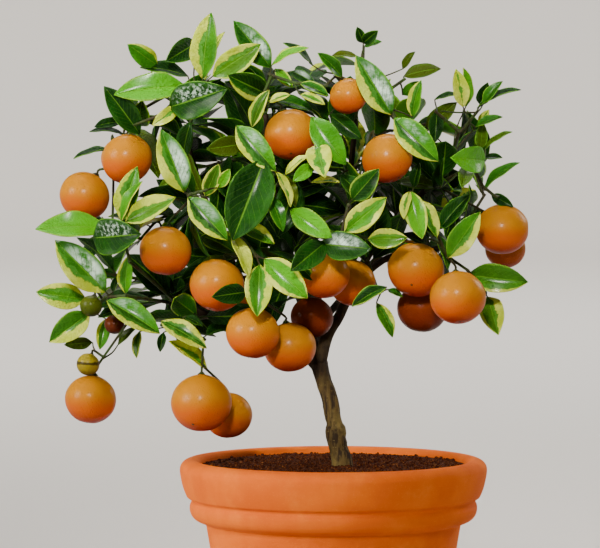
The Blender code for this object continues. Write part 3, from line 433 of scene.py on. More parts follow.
# Each fruit: (front x, front z, depth y, radius, spray that carries it)
RIPE = (
    (12, 520, -76, 15.0, "top"),
    (-34.5, 489, -90, 21.0, "top"),
    (43.5, 469.5, -82, 20.3, "mid"),
    (-167.5, 469, -68, 20.3, "left"),
    (-202, 439, -50, 20.3, "left"),
    (-136.5, 394.5, -77, 20.7, "left_high"),
    (-94.5, 366.5, -78, 21.9, "centre"),
    (-65.5, 327.5, -78, 21.5, "mid_low"),
    (-35.5, 316, -47, 21.1, "mid_low"),
    (-7, 375, -80, 19.9, "mid_low"),
    (15, 368.5, -46, 19.5, "low_mid"),
    (-17.5, 340.5, -22, 17.4, "low_mid"),
    (-197.5, 273.5, -36, 20.7, "left_low"),
    (-107.5, 270.5, -62, 24.3, "low"),
    (-85.5, 260.5, -23, 19.5, "low"),
    (67, 379, -67, 22.7, "right_low"),
    (101, 356.5, -88, 22.3, "right_low"),
    (72, 347.5, -36, 20.3, "right_low"),
    (137, 412, -32, 21.5, "right_mid"),
    (139.5, 396, 5, 16.6, "right_mid"),
    (43, 463, 76, 20.0, "back_high_right"),
    (-36, 482, 88, 20.5, "back_top"),
    (-136, 391, 66, 20.0, "back_low_left"),
    (66, 380, 76, 21.0, "back_low_right"),
    (-70, 352, 60, 20.5, "back_mid"),
    (-172, 468, 52, 19.0, "back_high_left"),
)
UNRIPE = (
    (-197, 349.5, -50, 9.0, "left_low"),
    (-199.5, 302, -42, 9.3, "left_low"),
    (-178, 334.5, -31, 8.2, "left_low"),
)
# Each spray: (limb, how far along it, twig tips). A tip is a front place, or a point (x, y, z).
SPRAYS = {
    "top_left": ("upper_left", 1.0, ((-108, 528), (-126, 520), (-142, 503), (-150, 538), (-166, 495))),
    "top": ("middle", 1.0, ((-52, 538), (-30, 530), (-66, 500), (-5, 528))),
    "top_right": ("upper_right", 1.0, ((24, 556), (20, 537), (48, 508), (58, 534))),
    "right_high": ("right", 1.0, ((102, 492), (117, 508), (82, 508))),
    "right_mid": ("right", 0.90, ((110, 462), (123, 470), (122, 445), (132, 438))),
    "right_front": ("right", 0.72, ((64, 441), (86, 416))),
    "right_low": ("low_right", 1.0, ((93, 389), (110, 378), (124, 360), (84, 408))),
    "mid": ("upper_right", 0.42, ((12, 432), (6, 408), (30, 404))),
    "mid_high": ("middle", 0.72, ((-18, 462), (-11, 500), (-14, 480), (-38, 457))),
    "mid_low": ("middle", 0.40, ((-12, 402), (-35, 424), (-30, 388))),
    "low_mid": ("right", 0.34, ((40, 363),)),
    "centre": ("upper_left", 0.45, ((-62, 390), (-77, 410), (-50, 440))),
    "left_high": ("upper_left", 0.72, ((-118, 440), (-102, 444))),
    "left_inner": ("middle", 0.86, ((-72, 485), (-57, 470))),
    "left": ("left", 0.92, ((-166, 386), (-174, 416), (-188, 410))),
    "left_low": ("left", 1.0, ((-170, 358), (-186, 357), (-197, 345), (-168, 334))),
    "low": ("left", 0.74, ((-140, 334), (-104, 322))),
    "back_top": ("back", 1.0, ((-62, 78, 466), (-56, 52, 530), (-14, 48, 540), (-88, 54, 508))),
    "back_mid": ("back", 0.82, ((-44, 108, 416), (-62, 100, 388), (-14, 112, 398))),
    "back_high_left": ("back_left", 1.0, ((-112, 60, 505), (-140, 50, 520), (-172, 28, 500))),
    "back_low_left": ("back_left", 0.60, ((-128, 84, 420), (-160, 64, 400), (-190, 36, 415))),
    "back_high_right": ("back_right", 1.0, ((62, 70, 490), (30, 46, 522), (92, 36, 500))),
    "back_low_right": ("back_right", 0.62, ((60, 98, 420), (104, 52, 418), (30, 104, 424))),
    "inner_left": ("middle", 0.58, ((-72, 40, 472), (-44, 34, 508), (-104, 38, 462))),
    "inner_right": ("upper_right", 0.62, ((22, 42, 472), (-10, 36, 500), (56, 34, 468))),
    "right_side": ("low_right", 0.80, ((100, 20, 400), (124, 22, 440), (112, 36, 470))),
    "left_side": ("left", 0.84, ((-150, 20, 370), (-190, 12, 376), (-205, 0, 392))),
}
UP = Vector((0, 0, 1))
GAP = 0.3 * MM
FRUIT_FLATNESS = 0.94
FRONT_EYE = Vector((-27, -3600, 564))
LAST_SEEN_DEPTH = 50
CROWN_MIDDLE = Vector((-42, 0, 440))
CROWN_HALF = Vector((205, 122, 165))
CROWN_LEAST = 0.12
BASE_INSET = 7
TWIG_RADIUS, SIDE_TWIG_RADIUS, STALK_RADIUS = 1.5, 1.3, 1.0
CALYX_RADIUS, CALYX_HEIGHT, CALYX_NECK, SMALL_CALYX, NECK = 3.3, 2.2, 1.4, 0.3, 6
SAMPLE_STEP, WOOD_CLEARANCE, FOOT_REACH = 2.0, 0.9, 16
MOST_STUB, STUB_COVER, MOST_STARTS, START_SPACING, BOW_REACH = 20, 3.5, 9, 4, 30
ELBOW, FIRST_BOW = 5, 1.2
STEM_LEANS = (0.55, 0.2, 0.9, 1.4)
STEM_BACK = Vector((0, 0.25, 0))
BOWS = ((0, 0, 0), (0, 8, 0), (0, 0, 8), (0, 0, -8), (0, 16, 0), (8, 4, 0), (-8, 4, 0),
        (0, -8, 0), (0, 12, 12), (0, 12, -12), (0, 26, 0), (14, 8, 0), (-14, 8, 0))
TWIG_SIDES, STALK_SIDES = 10, 8
TWIG_STEPS = 3
SHOOT, SHOOT_DARK, SHOOT_GREEN = (0.036, 0.030, 0.010), (0.012, 0.009, 0.005), (0.034, 0.070, 0.010)


def shoot_material():
    """Young wood: green, turning brown and streaked."""
    material, tree, shader = new_material("green_wood", 0.6, Specular_IOR_Level=0.2)
    place = places_of(tree)
    clouds = mottle(tree, place, 70, 4)
    colour = mixed(tree, step_up(tree, clouds, 0.38, 0.62), SHOOT, SHOOT_GREEN)
    streaks = mottle(tree, place, 500, 3)
    colour = mixed(tree, step_up(tree, streaks, 0.5, 0.7), colour, SHOOT_DARK)
    tree.links.new(colour, shader.inputs["Base Color"])
    raised(tree, shader, streaks, 0.0004)
    return material


def add_calyx(shape, place, way, radius):
    """Adds a flat five-lobed star whose middle runs up into the stalk."""
    height = CALYX_HEIGHT * MM
    turn = (-way).to_track_quat("-Z", "Y").to_matrix().to_4x4()
    star = bmesh.ops.create_cone(shape, cap_ends=True, segments=20, radius1=radius * 1.12 * MM,
                                 radius2=CALYX_NECK * MM, depth=height)["verts"]
    for spot in star:
        if spot.co.z < 0:
            lobe = 0.80 + 0.20 * math.cos(5 * math.atan2(spot.co.y, spot.co.x))
            spot.co = Vector((spot.co.x * lobe, spot.co.y * lobe, spot.co.z))
    lift = Matrix.Translation(place + way * height / 2)
    bmesh.ops.transform(shape, matrix=lift @ turn, verts=star)


def smooth_path(points):
    """A twig's path in metres, rounded at its bends."""
    return [Vector(point) * MM for point in softened([tuple(point) for point in points], TWIG_STEPS)]


def seen_at(x, z, y):
    """The point at depth y that shows to the front at (x, z)."""
    share = (y - FRONT_EYE.y) / -FRONT_EYE.y
    return FRONT_EYE + (Vector((x, 0, z)) - FRONT_EYE) * share


def crown_reach(x, z):
    """How far the crown's round form reaches in front of and behind a front place."""
    across = (x - CROWN_MIDDLE.x) / CROWN_HALF.x
    upright = (z - CROWN_MIDDLE.z) / CROWN_HALF.z
    return CROWN_HALF.y * math.sqrt(max(CROWN_LEAST, 1 - across**2 - upright**2))


def along_polyline(points, share):
    """The point this share of the way along a polyline, the direction there and its radius."""
    places = [Vector(point[:3]) for point in points]
    lengths = [(b - a).length for a, b in zip(places, places[1:])]
    left = share * sum(lengths)
    for index, length in enumerate(lengths):
        if left <= length or index == len(lengths) - 1:
            part = min(1, left / length)
            radius = points[index][3] + (points[index + 1][3] - points[index][3]) * part
            direction = (places[index + 1] - places[index]).normalized()
            return places[index].lerp(places[index + 1], part), direction, radius
        left -= length


def samples_of(points, step=SAMPLE_STEP):
    """Points spaced evenly along a polyline."""
    found = [points[0]]
    for start, end in zip(points, points[1:]):
        count = max(1, math.ceil((end - start).length / step))
        found += [start.lerp(end, i / count) for i in range(1, count + 1)]
    return found


def fruit_list():
    """Every fruit's name, centre, radius and carrier."""
    fruits = []
    for kind, rows in (("orange", RIPE), ("unripe_orange", UNRIPE)):
        for index, (x, z, y, radius, spray) in enumerate(rows):
            centre = seen_at(x, z, y) if y < LAST_SEEN_DEPTH else Vector((x, y, z))
            fruits.append({"name": f"{kind}_{index + 1:02d}", "kind": kind, "centre": centre,
                           "radius": radius, "spray": spray})
    return fruits


def stem_height(radius):
    """How far a fruit's flat stem end stands from its middle."""
    return FRUIT_FLATNESS * radius * math.sqrt(1 - (stem_disc(radius) / radius) ** 2)


def stem_disc(radius):
    """The radius of a fruit's flat stem end."""
    return min(CALYX_RADIUS + 0.5, 0.34 * radius)


class Wood:
    """Every limb, twig and stalk so far, as points with a radius, and the fruits to keep clear of."""

    def __init__(self, fruits):
        self.fruit_places = np.array([fruit["centre"] for fruit in fruits])
        self.fruit_radii = np.array([fruit["radius"] for fruit in fruits])
        self.places = np.zeros((0, 3))
        self.radii = np.zeros(0)
        self.owners = np.zeros(0, int)

    def add(self, points, radius, owner):
        self.places = np.vstack([self.places, np.array([tuple(p) for p in points])])
        self.radii = np.append(self.radii, np.full(len(points), radius))
        self.owners = np.append(self.owners, np.full(len(points), owner))

    def clear(self, points, radius, owner, limb=None, start=None):
        """Whether a path keeps off the fruits and off all other owners' wood.

        Near its start it may touch the limb that it grows from.
        """
        spots = np.array([tuple(p) for p in points])
        fruit_room = np.linalg.norm(spots[:, None] - self.fruit_places, axis=2) - self.fruit_radii
        if fruit_room.min() < radius + WOOD_CLEARANCE:
            return False
        others = self.owners != owner
        if start is not None:
            near = np.linalg.norm(self.places - np.array(tuple(start)), axis=1) < FOOT_REACH
            others &= ~(near & (self.owners == limb))
        if not others.any():
            return True
        room = np.linalg.norm(spots[:, None] - self.places[others], axis=2) - self.radii[others]
        return room.min() > radius + WOOD_CLEARANCE


def tip_place(tip):
    if len(tip) == 3:
        return Vector(tip)
    return seen_at(tip[0], tip[1], -crown_reach(*tip) + 2 * BASE_INSET)


def stub_of(spray):
    """Where a spray leaves its limb: the limb's point, the way out, and how long the stub is."""
    limb, share, tips = SPRAYS[spray]
    start, limb_way, limb_radius = along_polyline(LIMBS[limb], share)
    way = (tip_place(tips[0]) - start).normalized() if share < 1 else limb_way
    slant = max(0.35, math.sin(way.angle(limb_way)))
    length = min(MOST_STUB, limb_radius / slant + STUB_COVER) if share < 1 else 0
    return start, way, length


def grow(wood, own, target, radius, owner):
    """The first clear three-point path from a spray's own wood to the target, or None."""
    starts = sorted(own, key=lambda place: (place - target).length)
    chosen = []
    for place in starts:
        if all((place - other).length > START_SPACING for other in chosen):
            chosen.append(place)
        if len(chosen) == MOST_STARTS:
            break
    for bow in BOWS:
        for start in chosen:
            size = min(1, (target - start).length / BOW_REACH)
            middle = (start + target) / 2 + Vector(bow) * size
            path = [start, middle, target] if any(bow) else [start, target]
            if wood.clear(samples_of(path), radius, owner):
                return path
    return None


def grow_all(fruits):
    """The whole skeleton: each spray's tubes as (points, radii), and every fruit's stalk end."""
    wood = Wood(fruits)
    for number, points in enumerate(LIMBS.values()):
        for start, end in zip(points, points[1:]):
            radius = max(start[3], end[3])
            wood.add(samples_of([Vector(start[:3]), Vector(end[:3])]), radius, -1 - number)
    tubes, own = {}, {}
    limb_names = list(LIMBS)
    for owner, (spray, (limb, _, tips)) in enumerate(SPRAYS.items()):
        start, way, length = stub_of(spray)
        first = start + way * (length + GAP / MM)
        target = tip_place(tips[0])
        limb_owner = -1 - limb_names.index(limb)
        for bow in BOWS:
            elbow = first + way * ELBOW
            middle = (elbow + target) / 2 + Vector(bow) * FIRST_BOW
            path = [first, elbow, middle, target]
            if wood.clear(samples_of(path), TWIG_RADIUS, owner, limb_owner, start):
                break
        own[spray] = samples_of(path)[:-1]
        tubes[spray] = [(path, [TWIG_RADIUS] * 4)]
        wood.add(own[spray], TWIG_RADIUS, owner)
    for owner, (spray, (_, _, tips)) in enumerate(SPRAYS.items()):
        for tip in tips[1:]:
            path = grow(wood, own[spray], tip_place(tip), SIDE_TWIG_RADIUS, owner)
            if path:
                tubes[spray].append((path, [SIDE_TWIG_RADIUS] * len(path)))
                own[spray] += samples_of(path)[:-1]
                wood.add(samples_of(path), SIDE_TWIG_RADIUS, owner)
    for fruit in fruits:
        grow_stalk(wood, fruit, own, tubes)
    return tubes, own


def grow_stalk(wood, fruit, own, tubes):
    """Adds the stalk that carries a fruit, and sets the way that the fruit's stem end faces."""
    spray = fruit["spray"]
    owner = list(SPRAYS).index(spray)
    centre, radius = fruit["centre"], fruit["radius"]
    nearest = min(own[spray], key=lambda place: (place - centre).length)
    lean = (nearest - centre).normalized()
    for share in STEM_LEANS:
        stem = (UP + lean * share + STEM_BACK).normalized()
        end = centre + stem * stem_height(radius)
        path = grow(wood, own[spray], end + stem * NECK, STALK_RADIUS, owner)
        if path:
            break
    fruit["stem"] = stem
    calyx = min(CALYX_RADIUS, SMALL_CALYX * radius)
    points = path + [end + stem * CALYX_HEIGHT, end + stem * GAP / MM]
    tubes[spray].append((points, [STALK_RADIUS] * len(path) + [CALYX_NECK, calyx]))
    own[spray] += samples_of(path)[:-1]
    wood.add(samples_of(path), STALK_RADIUS, owner)


fruits = fruit_list()
tubes, own_spots = grow_all(fruits)
green_wood = shoot_material()
for spray, paths in tubes.items():
    shape = bmesh.new()
    start, way, length = stub_of(spray)
    if length:
        grow_tube(shape, [start * MM, (start + way * (length + 1)) * MM], [TWIG_RADIUS * MM] * 2, TWIG_SIDES)
    for points, radii in paths:
        bears_fruit = len(radii) > 2 and radii[-2] == CALYX_NECK
        line = points[:-1] if bears_fruit else points
        path = smooth_path(line)
        thick = radii[0] * MM
        sides = STALK_SIDES if bears_fruit else TWIG_SIDES
        taper = [thick * (1.08 - 0.16 * index / (len(path) - 1)) for index in range(len(path))]
        grow_tube(shape, path, taper, sides)
        if bears_fruit:
            add_calyx(shape, points[-1] * MM, (points[-2] - points[-1]).normalized(), radii[-1])
    bmesh.ops.recalc_face_normals(shape, faces=shape.faces)
    finished("twigs_" + spray, shape, green_wood, "bark", "spray_" + spray, sharp=50)


# Leaves
# Thick, glossy citrus leaves with a pale rib. The green middle breaks up into grey-green flames
# towards a cream edge that differs from leaf to leaf. Each one stands on a short stalk.

# Leaves that show from the front: (base x, z, tip x, z, width as it shows, layer)
LEAVES = {
    "top_left": (
        (-106, 534, -99, 588, 21, 0), (-104, 533, -88, 572, 7, 1), (-98, 536, -59, 562, 21, 0),
        (-111, 563, -136, 548, 18, 1), (-118, 536, -157, 543, 10, 1), (-120, 528, -178, 521, 22, 0),
        (-133, 511, -86, 526, 29, 0), (-126, 511, -147, 496, 11, 0), (-143, 545, -167, 562, 16, 0),
        (-157, 489, -186, 528, 20, 0), (-159, 496, -155, 517, 18, 1), (-172, 499, -194, 495, 8, 1),
        (-170, 489, -198, 491, 4, 1), (-180, 476, -211, 469, 4, 1),
    ),
    "top": (
        (-51, 543, -81, 581, 20, 0), (-55, 522, -86, 537, 21, 1), (-66, 495, -52, 525, 11, 0),
        (-50, 545, -20, 559, 6, 0), (-47, 542, -33, 527, 9, 1), (-17, 545, -41, 563, 5, 1),
        (-34, 540, -15, 530, 9, 1), (-52, 515, -35, 521, 6, 0), (-47, 517, -17, 508, 9, 1),
        (-27, 530, -4, 520, 8, 0), (-27, 521, -7, 513, 7, 0), (7, 535, -13, 555, 10, 0),
    ),
    "top_right": (
        (24, 563, 19, 576, 8, 0), (24, 563, 36, 573, 10, 0), (25, 560, 39, 564, 5, 1),
        (19, 552, -2, 552, 5, 1), (47, 505, 18, 553, 24, 0), (-3, 505, 23, 485, 14, 1),
        (57, 536, 87, 542, 11, 0), (56, 542, 66, 556, 6, 1), (56, 521, 70, 532, 9, 1),
        (64, 503, 71, 533, 11, 0), (49, 502, 85, 467, 23, 0),
    ),
    "right_high": (
        (105, 511, 99, 542, 13, 0), (107, 511, 105, 543, 8, 1), (82, 517, 101, 521, 4, 1),
        (75, 495, 100, 515, 14, 2), (119, 513, 125, 531, 11, 1), (121, 513, 137, 532, 8, 0),
        (117, 511, 152, 525, 5, 0), (115, 495, 137, 503, 6, 0), (118, 498, 126, 509, 7, 1),
        (84, 508, 82, 482, 12, 2),
    ),
    "right_mid": (
        (123, 468, 95, 470, 21, 0), (119, 477, 121, 499, 10, 1), (123, 477, 145, 491, 4, 0),
        (122, 470, 137, 470, 5, 1), (122, 444, 151, 466, 7, 0), (109, 462, 104, 446, 12, 0),
        (87, 446, 89, 470, 7, 1), (128, 440, 146, 430, 9, 1),
    ),
    "right_front": (
        (62, 443, 72, 404, 18, 0), (70, 436, 84, 405, 11, 0), (62, 443, 57, 420, 8, 0),
        (86, 412, 111, 440, 14, 1), (65, 446, 70, 466, 8, 1),
    ),
    "right_low": (
        (93, 389, 119, 426, 20, 0), (109, 375, 158, 369, 23, 0), (125, 357, 134, 326, 20, 1),
        (83, 408, 93, 379, 8, 1),
    ),
    "mid": (
        (15, 436, 37, 461, 18, 0), (5, 456, 31, 430, 14, 1), (9, 410, 43, 438, 20, 0),
        (-9, 400, 31, 396, 23, 0), (28, 404, 60, 405, 16, 0),
    ),
    "mid_high": (
        (-14, 480, -7, 454, 20, 0), (-18, 450, 5, 450, 5, 1), (-17, 464, -33, 451, 11, 0),
        (-39, 456, -20, 472, 6, 0), (-18, 503, 10, 464, 21, 0),
    ),
    "mid_low": (
        (-35, 428, -1, 405, 18, 0), (-7, 401, -35, 378, 20, 0), (-30, 386, -16, 370, 10, 1),
    ),
    "low_mid": (
        (43, 365, 15, 349, 10, 0), (35, 352, 48, 324, 11, 0), (44, 363, 56, 357, 5, 1),
    ),
    "centre": (
        (-50, 443, -75, 433, 12, 0), (-53, 440, -41, 410, 12, 0), (-47, 459, -35, 430, 7, 0),
        (-41, 456, -31, 430, 10, 1), (-83, 408, -69, 373, 11, 0), (-56, 388, -21, 356, 23, 0),
        (-60, 383, -62, 341, 22, 0), (-71, 361, -99, 357, 16, 0), (-76, 408, -58, 375, 12, 1),
        (-76, 416, -48, 400, 12, 1),
    ),
    "left_high": (
        (-121, 442, -140, 493, 24, 0), (-118, 438, -86, 403, 21, 0), (-104, 439, -93, 465, 13, 1),
        (-93, 446, -84, 461, 9, 1),
    ),
    "left_inner": (
        (-56, 469, -82, 403, 36, 0), (-74, 481, -103, 477, 16, 1), (-79, 496, -47, 459, 21, 0),
    ),
    "left": (
        (-172, 419, -159, 463, 18, 0), (-172, 418, -155, 451, 7, 0), (-169, 418, -128, 438, 18, 0),
        (-183, 412, -242, 412, 20, 0), (-195, 405, -156, 408, 29, 0),
    ),
    "left_low": (
        (-185, 361, -226, 403, 28, 0), (-201, 355, -242, 361, 21, 0), (-198, 344, -231, 320, 21, 0),
        (-196, 320, -219, 318, 10, 1), (-184, 354, -141, 327, 20, 0), (-169, 360, -166, 391, 12, 1),
        (-179, 361, -175, 374, 5, 1), (-185, 339, -190, 314, 11, 1), (-175, 318, -160, 332, 6, 1),
    ),
    "low": (
        (-140, 337, -103, 315, 16, 0), (-103, 299, -134, 321, 11, 0), (-121, 341, -106, 333, 6, 1),
        (-157, 329, -160, 307, 7, 1), (-138, 328, -141, 312, 7, 1),
    ),
}
# How each of those leaves looks, in the same order, by the letters of LOOKS
LOOKS_SEEN = {
    "top_left": "vcyddGsCzDekkd", "top": "SEmlldncDecg", "top_right": "ddgbVDOOgrR",
    "right_high": "cldOkgdgck",
    "right_mid": "Poodgokd", "right_front": "lvcdk", "right_low": "qjyg", "mid": "eDHTy", "mid_high": "ccPcf",
    "mid_low": "GDE", "low_mid": "erg", "centre": "lfcbchHkkv", "left_high": "VRml", "left_inner": "DOR",
    "left": "rqyGs", "left_low": "VHvORrdqO", "low": "MFkmk",
}
# Cream on the left and the right side as shares of the half width, how light the green is (its own tone
# with painted light and shade, near black deep in the crown), how much lighter the left half is than the
# right (painted light and shade on the folded halves), and how olive. The last is painted glare, smooth
# up to 1 and in sparkles above it, on the right half, or on the left one where it is under 0.
LOOKS = {
    "G": (0.12, 0.12, 0.85, 0.10, 0.05, 0.0), "g": (0.11, 0.09, 0.42, 0.15, 0.05, 0.0),
    "f": (0.04, 0.10, 0.60, 0.00, 0.00, 0.0), "P": (0.02, 0.02, 0.85, 0.00, 0.15, 0.0),
    "d": (0.06, 0.05, 0.08, 0.10, 0.00, 0.0), "D": (0.02, 0.02, 0.14, 0.10, 0.00, 0.0),
    "k": (0.00, 0.02, 0.00, 0.00, 0.00, 0.0), "e": (0.18, 0.14, 0.26, 0.20, 0.00, 0.0),
    "E": (0.32, 0.06, 0.14, 0.10, 0.00, 0.0), "v": (0.78, 0.12, 0.62, 0.00, 0.10, 0.0),
    "w": (0.12, 0.78, 0.62, 0.00, 0.10, 0.0), "c": (0.88, 0.80, 0.70, 0.00, 0.25, 0.0),
    "C": (0.90, 0.90, 0.85, 0.00, 0.20, 0.0), "y": (0.62, 0.24, 0.66, 0.10, 0.50, 0.0),
    "o": (0.10, 0.08, 0.45, 0.00, 0.70, 0.0), "O": (0.02, 0.02, 0.08, 0.00, 0.60, 0.0),
    "b": (0.03, 0.03, 0.08, 0.00, 1.00, 0.0), "l": (0.22, 0.20, 0.95, 0.05, 0.25, 0.0),
    "m": (0.34, 0.34, 0.45, 0.00, 0.40, 0.0), "M": (0.50, 0.62, 0.30, 0.00, 0.05, 0.0),
    "h": (0.30, 0.34, 0.76, 0.00, 0.05, 0.0), "H": (0.60, 0.38, 0.66, 0.00, 0.15, 0.0),
    "z": (0.05, 0.35, 0.60, 0.00, 0.00, 0.0), "j": (0.10, 0.28, 0.58, -0.1, 0.25, 0.0),
    "q": (0.10, 0.50, 0.58, 0.10, 0.10, 0.0), "r": (0.45, 0.10, 0.55, -0.1, 0.10, 0.0),
    "n": (0.05, 0.05, 0.08, 0.10, 0.00, -0.6), "s": (0.05, 0.05, 0.18, 0.00, 0.00, -1.6),
    "S": (0.10, 0.12, 0.42, -0.2, 0.00, 0.8), "V": (0.55, 0.08, 0.50, 0.00, 0.05, 0.9),
    "T": (0.05, 0.05, 0.16, 0.00, 0.00, -1.09), "R": (0.10, 0.38, 0.42, 0.40, 0.05, -0.4),
    "F": (0.70, 0.85, 0.95, 0.00, 0.00, 0.0), "x": (0.00, 0.00, 0.00, 0.00, 0.00, 0.0),
    "X": (0.00, 0.00, 0.10, 0.00, 0.00, 0.0),
}
# The added leaves. Those in front and the shade leaves are mostly dark green to near black: painted shade for
# the crown's middle.
LOOKS_ADDED, LOOKS_ADDED_FRONT = "gdedvGolgdwDecgd", "dDkdXekD"
LOOKS_SHADE = "xXxdXxkXxOXxkXxX"
FRONT_PART = 15
RIB_THICKNESS = 1.4
STALK_HALF = 0.65
LEAF_ASPECT, FACING_ASPECT, FILL_ASPECT = 0.42, 0.53, 0.45
MOST_FORESHORTENING = 30
FOLD, ARCH = 0.26, 0.06
STALK_TURN = 0.45
LAYER_DEPTH = 24
STATIONS = ((0.34, 0.98), (0.70, 0.84))
SMALL_STATIONS = ((0.45, 1.0),)
SMALL_WIDTH = 11
DEPTH_SHIFTS = (0, -4, 4, -8, 8, 12, -12, 16, 21, 26, 32, 38, 45)
CROWN_HEART = Vector((-30, 0, 400))
FILL_TRIES, FILL_PETIOLE, FILL_LENGTHS, FIRST_FILL, FILL_SPOTS = 3, 6, (42, 60), 4, 24
GOLDEN_ANGLE, GOLDEN_SHARE = math.radians(137.5), 0.618
MATCH = 0.08  # how near a leaf's corner lies to the solid's, in millimetres
BLADE_COLUMNS, BLADE_ROWS = 8, 14
SHADE_COLUMNS, SHADE_ROWS = 4, 9
COLUMN_PLACES = (0, 0.34, 0.68, 0.92, 1)
NET_SHARES = (0, 0.25, 0.5, 0.75, 1)
# The part of the crown, from the front, that no light comes through
DENSE_OUTLINE = (
    (-149, 491), (-131, 511), (-104, 503), (-86, 503), (-72, 517), (-58, 542), (-39, 543), (-13, 548),
    (13, 540), (23, 517), (27, 493), (50, 495), (62, 469), (86, 469), (96, 477), (119, 477), (122, 459),
    (109, 444), (116, 424), (96, 395), (86, 386), (50, 386), (31, 386), (9, 355), (-4, 352), (-27, 331),
    (-39, 340), (-58, 345), (-80, 345), (-88, 326), (-104, 318), (-118, 326), (-125, 337), (-149, 351),
    (-161, 363), (-157, 386), (-149, 416), (-129, 424), (-121, 440), (-137, 443), (-149, 465),
)
SHADE_TRIES, SHADE_LEAVES, SHADE_PETIOLE, SHADE_LENGTHS = 60, 9, 6, (36, 54)
SHADE_WIDTHS = (0.42, 0.52)
FRUIT_ROOM, BOX_ROOM = 2.0, 3.0
GAP_STEP, GAP_DEPTHS, GAP_REACH = 7, (10, -10, 30, -30, 50, 65, -50), 62
BLADE_THICKNESS = 0.55
BLADE_FOLD = 0.42  # deeper than the solid's FOLD, for the light to catch each half by itself
# The half width of a blade along its length, as (how far along, share)
OUTLINE_SHAPE = ((0, 0.05), (0.05, 0.26), (0.13, 0.58), (0.23, 0.84), (0.34, 0.98), (0.48, 1.0),
                 (0.60, 0.94), (0.70, 0.84), (0.80, 0.66), (0.88, 0.45), (0.94, 0.25), (1, 0.02))
DRAWS = random.Random(7)
leaf_draws = random.Random(23)
shade_draws = random.Random(31)


class Leaf:
    """A blade from its root in the wood, over the blade's base, to its tip."""

    def __init__(self, root, base, tip, normal, width):
        self.root, self.base, self.tip, self.width = root, base, tip, width
        self.stations = SMALL_STATIONS if width < SMALL_WIDTH else STATIONS
        self.along = (tip - base).normalized()
        self.up = (normal - self.along * normal.dot(self.along)).normalized()
        self.left = self.up.cross(self.along)

    def corners(self):
        """The corners of the solid blade: two edges and two rib points at each station, and the tip."""
        length = (self.tip - self.base).length
        found = [self.tip]
        for share, half_share in self.stations:
            half = half_share * self.width / 2
            middle = self.base.lerp(self.tip, share) + self.up * (ARCH * length * math.sin(math.pi * share))
            across, lift = self.left * half, self.up * (FOLD * half)
            rib = self.up * RIB_THICKNESS / 2
            found += [middle + across + lift, middle + rib, middle - across + lift, middle - rib]
        return found


def normal_towards(point, along, roll):
    """A blade's upper side as it faces the front, rolled to the side that lies nearer the sky."""
    facing = (FRONT_EYE - point).normalized()
    facing = (facing - along * facing.dot(along)).normalized()
    side = along.cross(facing)
    choices = [facing * math.cos(roll) + side * math.sin(roll) * sign for sign in (1, -1)]
    return max(choices, key=lambda normal: normal.z)


def front_leaf(row, own, shift):
    """The leaf of one listed row, moved this far in depth."""
    base_x, base_z, tip_x, tip_z, width, layer = row
    middle_reach = crown_reach((base_x + tip_x) / 2, (base_z + tip_z) / 2)
    depth = -middle_reach + LAYER_DEPTH * layer + shift
    base = seen_at(base_x, base_z, depth + BASE_INSET)
    tip = seen_at(tip_x, tip_z, depth)
    shown = (tip - base).length
    if shown < width / FACING_ASPECT:
        nearer = min(MOST_FORESHORTENING, math.sqrt((width / FACING_ASPECT) ** 2 - shown**2))
        tip = seen_at(tip_x, tip_z, depth - nearer)
    length = (tip - base).length
    real_width = max(width, LEAF_ASPECT * length)
    roll = math.acos(width / real_width)
    along = (tip - base).normalized()
    normal = normal_towards(base, along, roll)
    root = min(own, key=lambda place: (place - base).length - STALK_TURN * (base - place).dot(along))
    return Leaf(root, base, tip, normal, real_width)


def drawn_leaf(root, way, turn):
    """A leaf that the rule sets on a twig: three draws give its length, direction and roll."""
    length = DRAWS.uniform(*FILL_LENGTHS)
    jitter = DRAWS.uniform(-0.6, 0.6)
    roll = DRAWS.uniform(-0.5, 0.5)
    outward = (root - CROWN_HEART).normalized()
    aside = way.orthogonal().normalized()
    other = way.cross(aside)
    radial = aside * math.cos(turn + jitter) + other * math.sin(turn + jitter)
    along = (way * 0.5 + radial * 0.9 + outward * 0.7 + UP * 0.1).normalized()
    base = root + along * FILL_PETIOLE
    tip = root + along * length
    normal = UP * 0.8 + outward * 0.5 + along.cross(UP) * roll
    return Leaf(root, base, tip, normal, FILL_ASPECT * length)


def corners_met(leaf, tree):
    """How many of a leaf's corners lie on the solid's corners."""
    return sum(tree.find(corner)[2] < MATCH for corner in leaf.corners())


def best_met(leaves, tree):
    """The one of these leaves that the solid holds, or None."""
    counts = [corners_met(leaf, tree) for leaf in leaves]
    most = max(counts)
    return leaves[counts.index(most)] if most > 1 else None


def half_width_at(share):
    """The blade's half width at a share of its length, read off a smooth line through OUTLINE_SHAPE."""
    places = [place for place, _ in OUTLINE_SHAPE]
    index = max(i for i, place in enumerate(places) if place <= share)
    if index == len(places) - 1:
        return OUTLINE_SHAPE[-1][1]
    before, start, end, after = (OUTLINE_SHAPE[min(max(i, 0), len(places) - 1)][1]
                                 for i in range(index - 1, index + 3))
    t = (share - places[index]) / (places[index + 1] - places[index])
    slope_in, slope_out = (end - before) / 2, (after - start) / 2
    return ((2 * t**3 - 3 * t**2 + 1) * start + (t**3 - 2 * t**2 + t) * slope_in
            + (3 * t**2 - 2 * t**3) * end + (t**3 - t**2) * slope_out)


def blade_place(leaf, across, share, ripple=0.0):
    """The point of a blade at a share of its length, and across it from -1 on its left to 1."""
    length = (leaf.tip - leaf.base).length
    half = leaf.width / 2 * half_width_at(share)
    middle = leaf.base.lerp(leaf.tip, share) + leaf.up * (ARCH * length * math.sin(math.pi * share))
    lift = BLADE_FOLD * (math.sqrt(across**2 + 0.01) - 0.1) + ripple
    return middle + (leaf.up * lift - leaf.left * across) * half


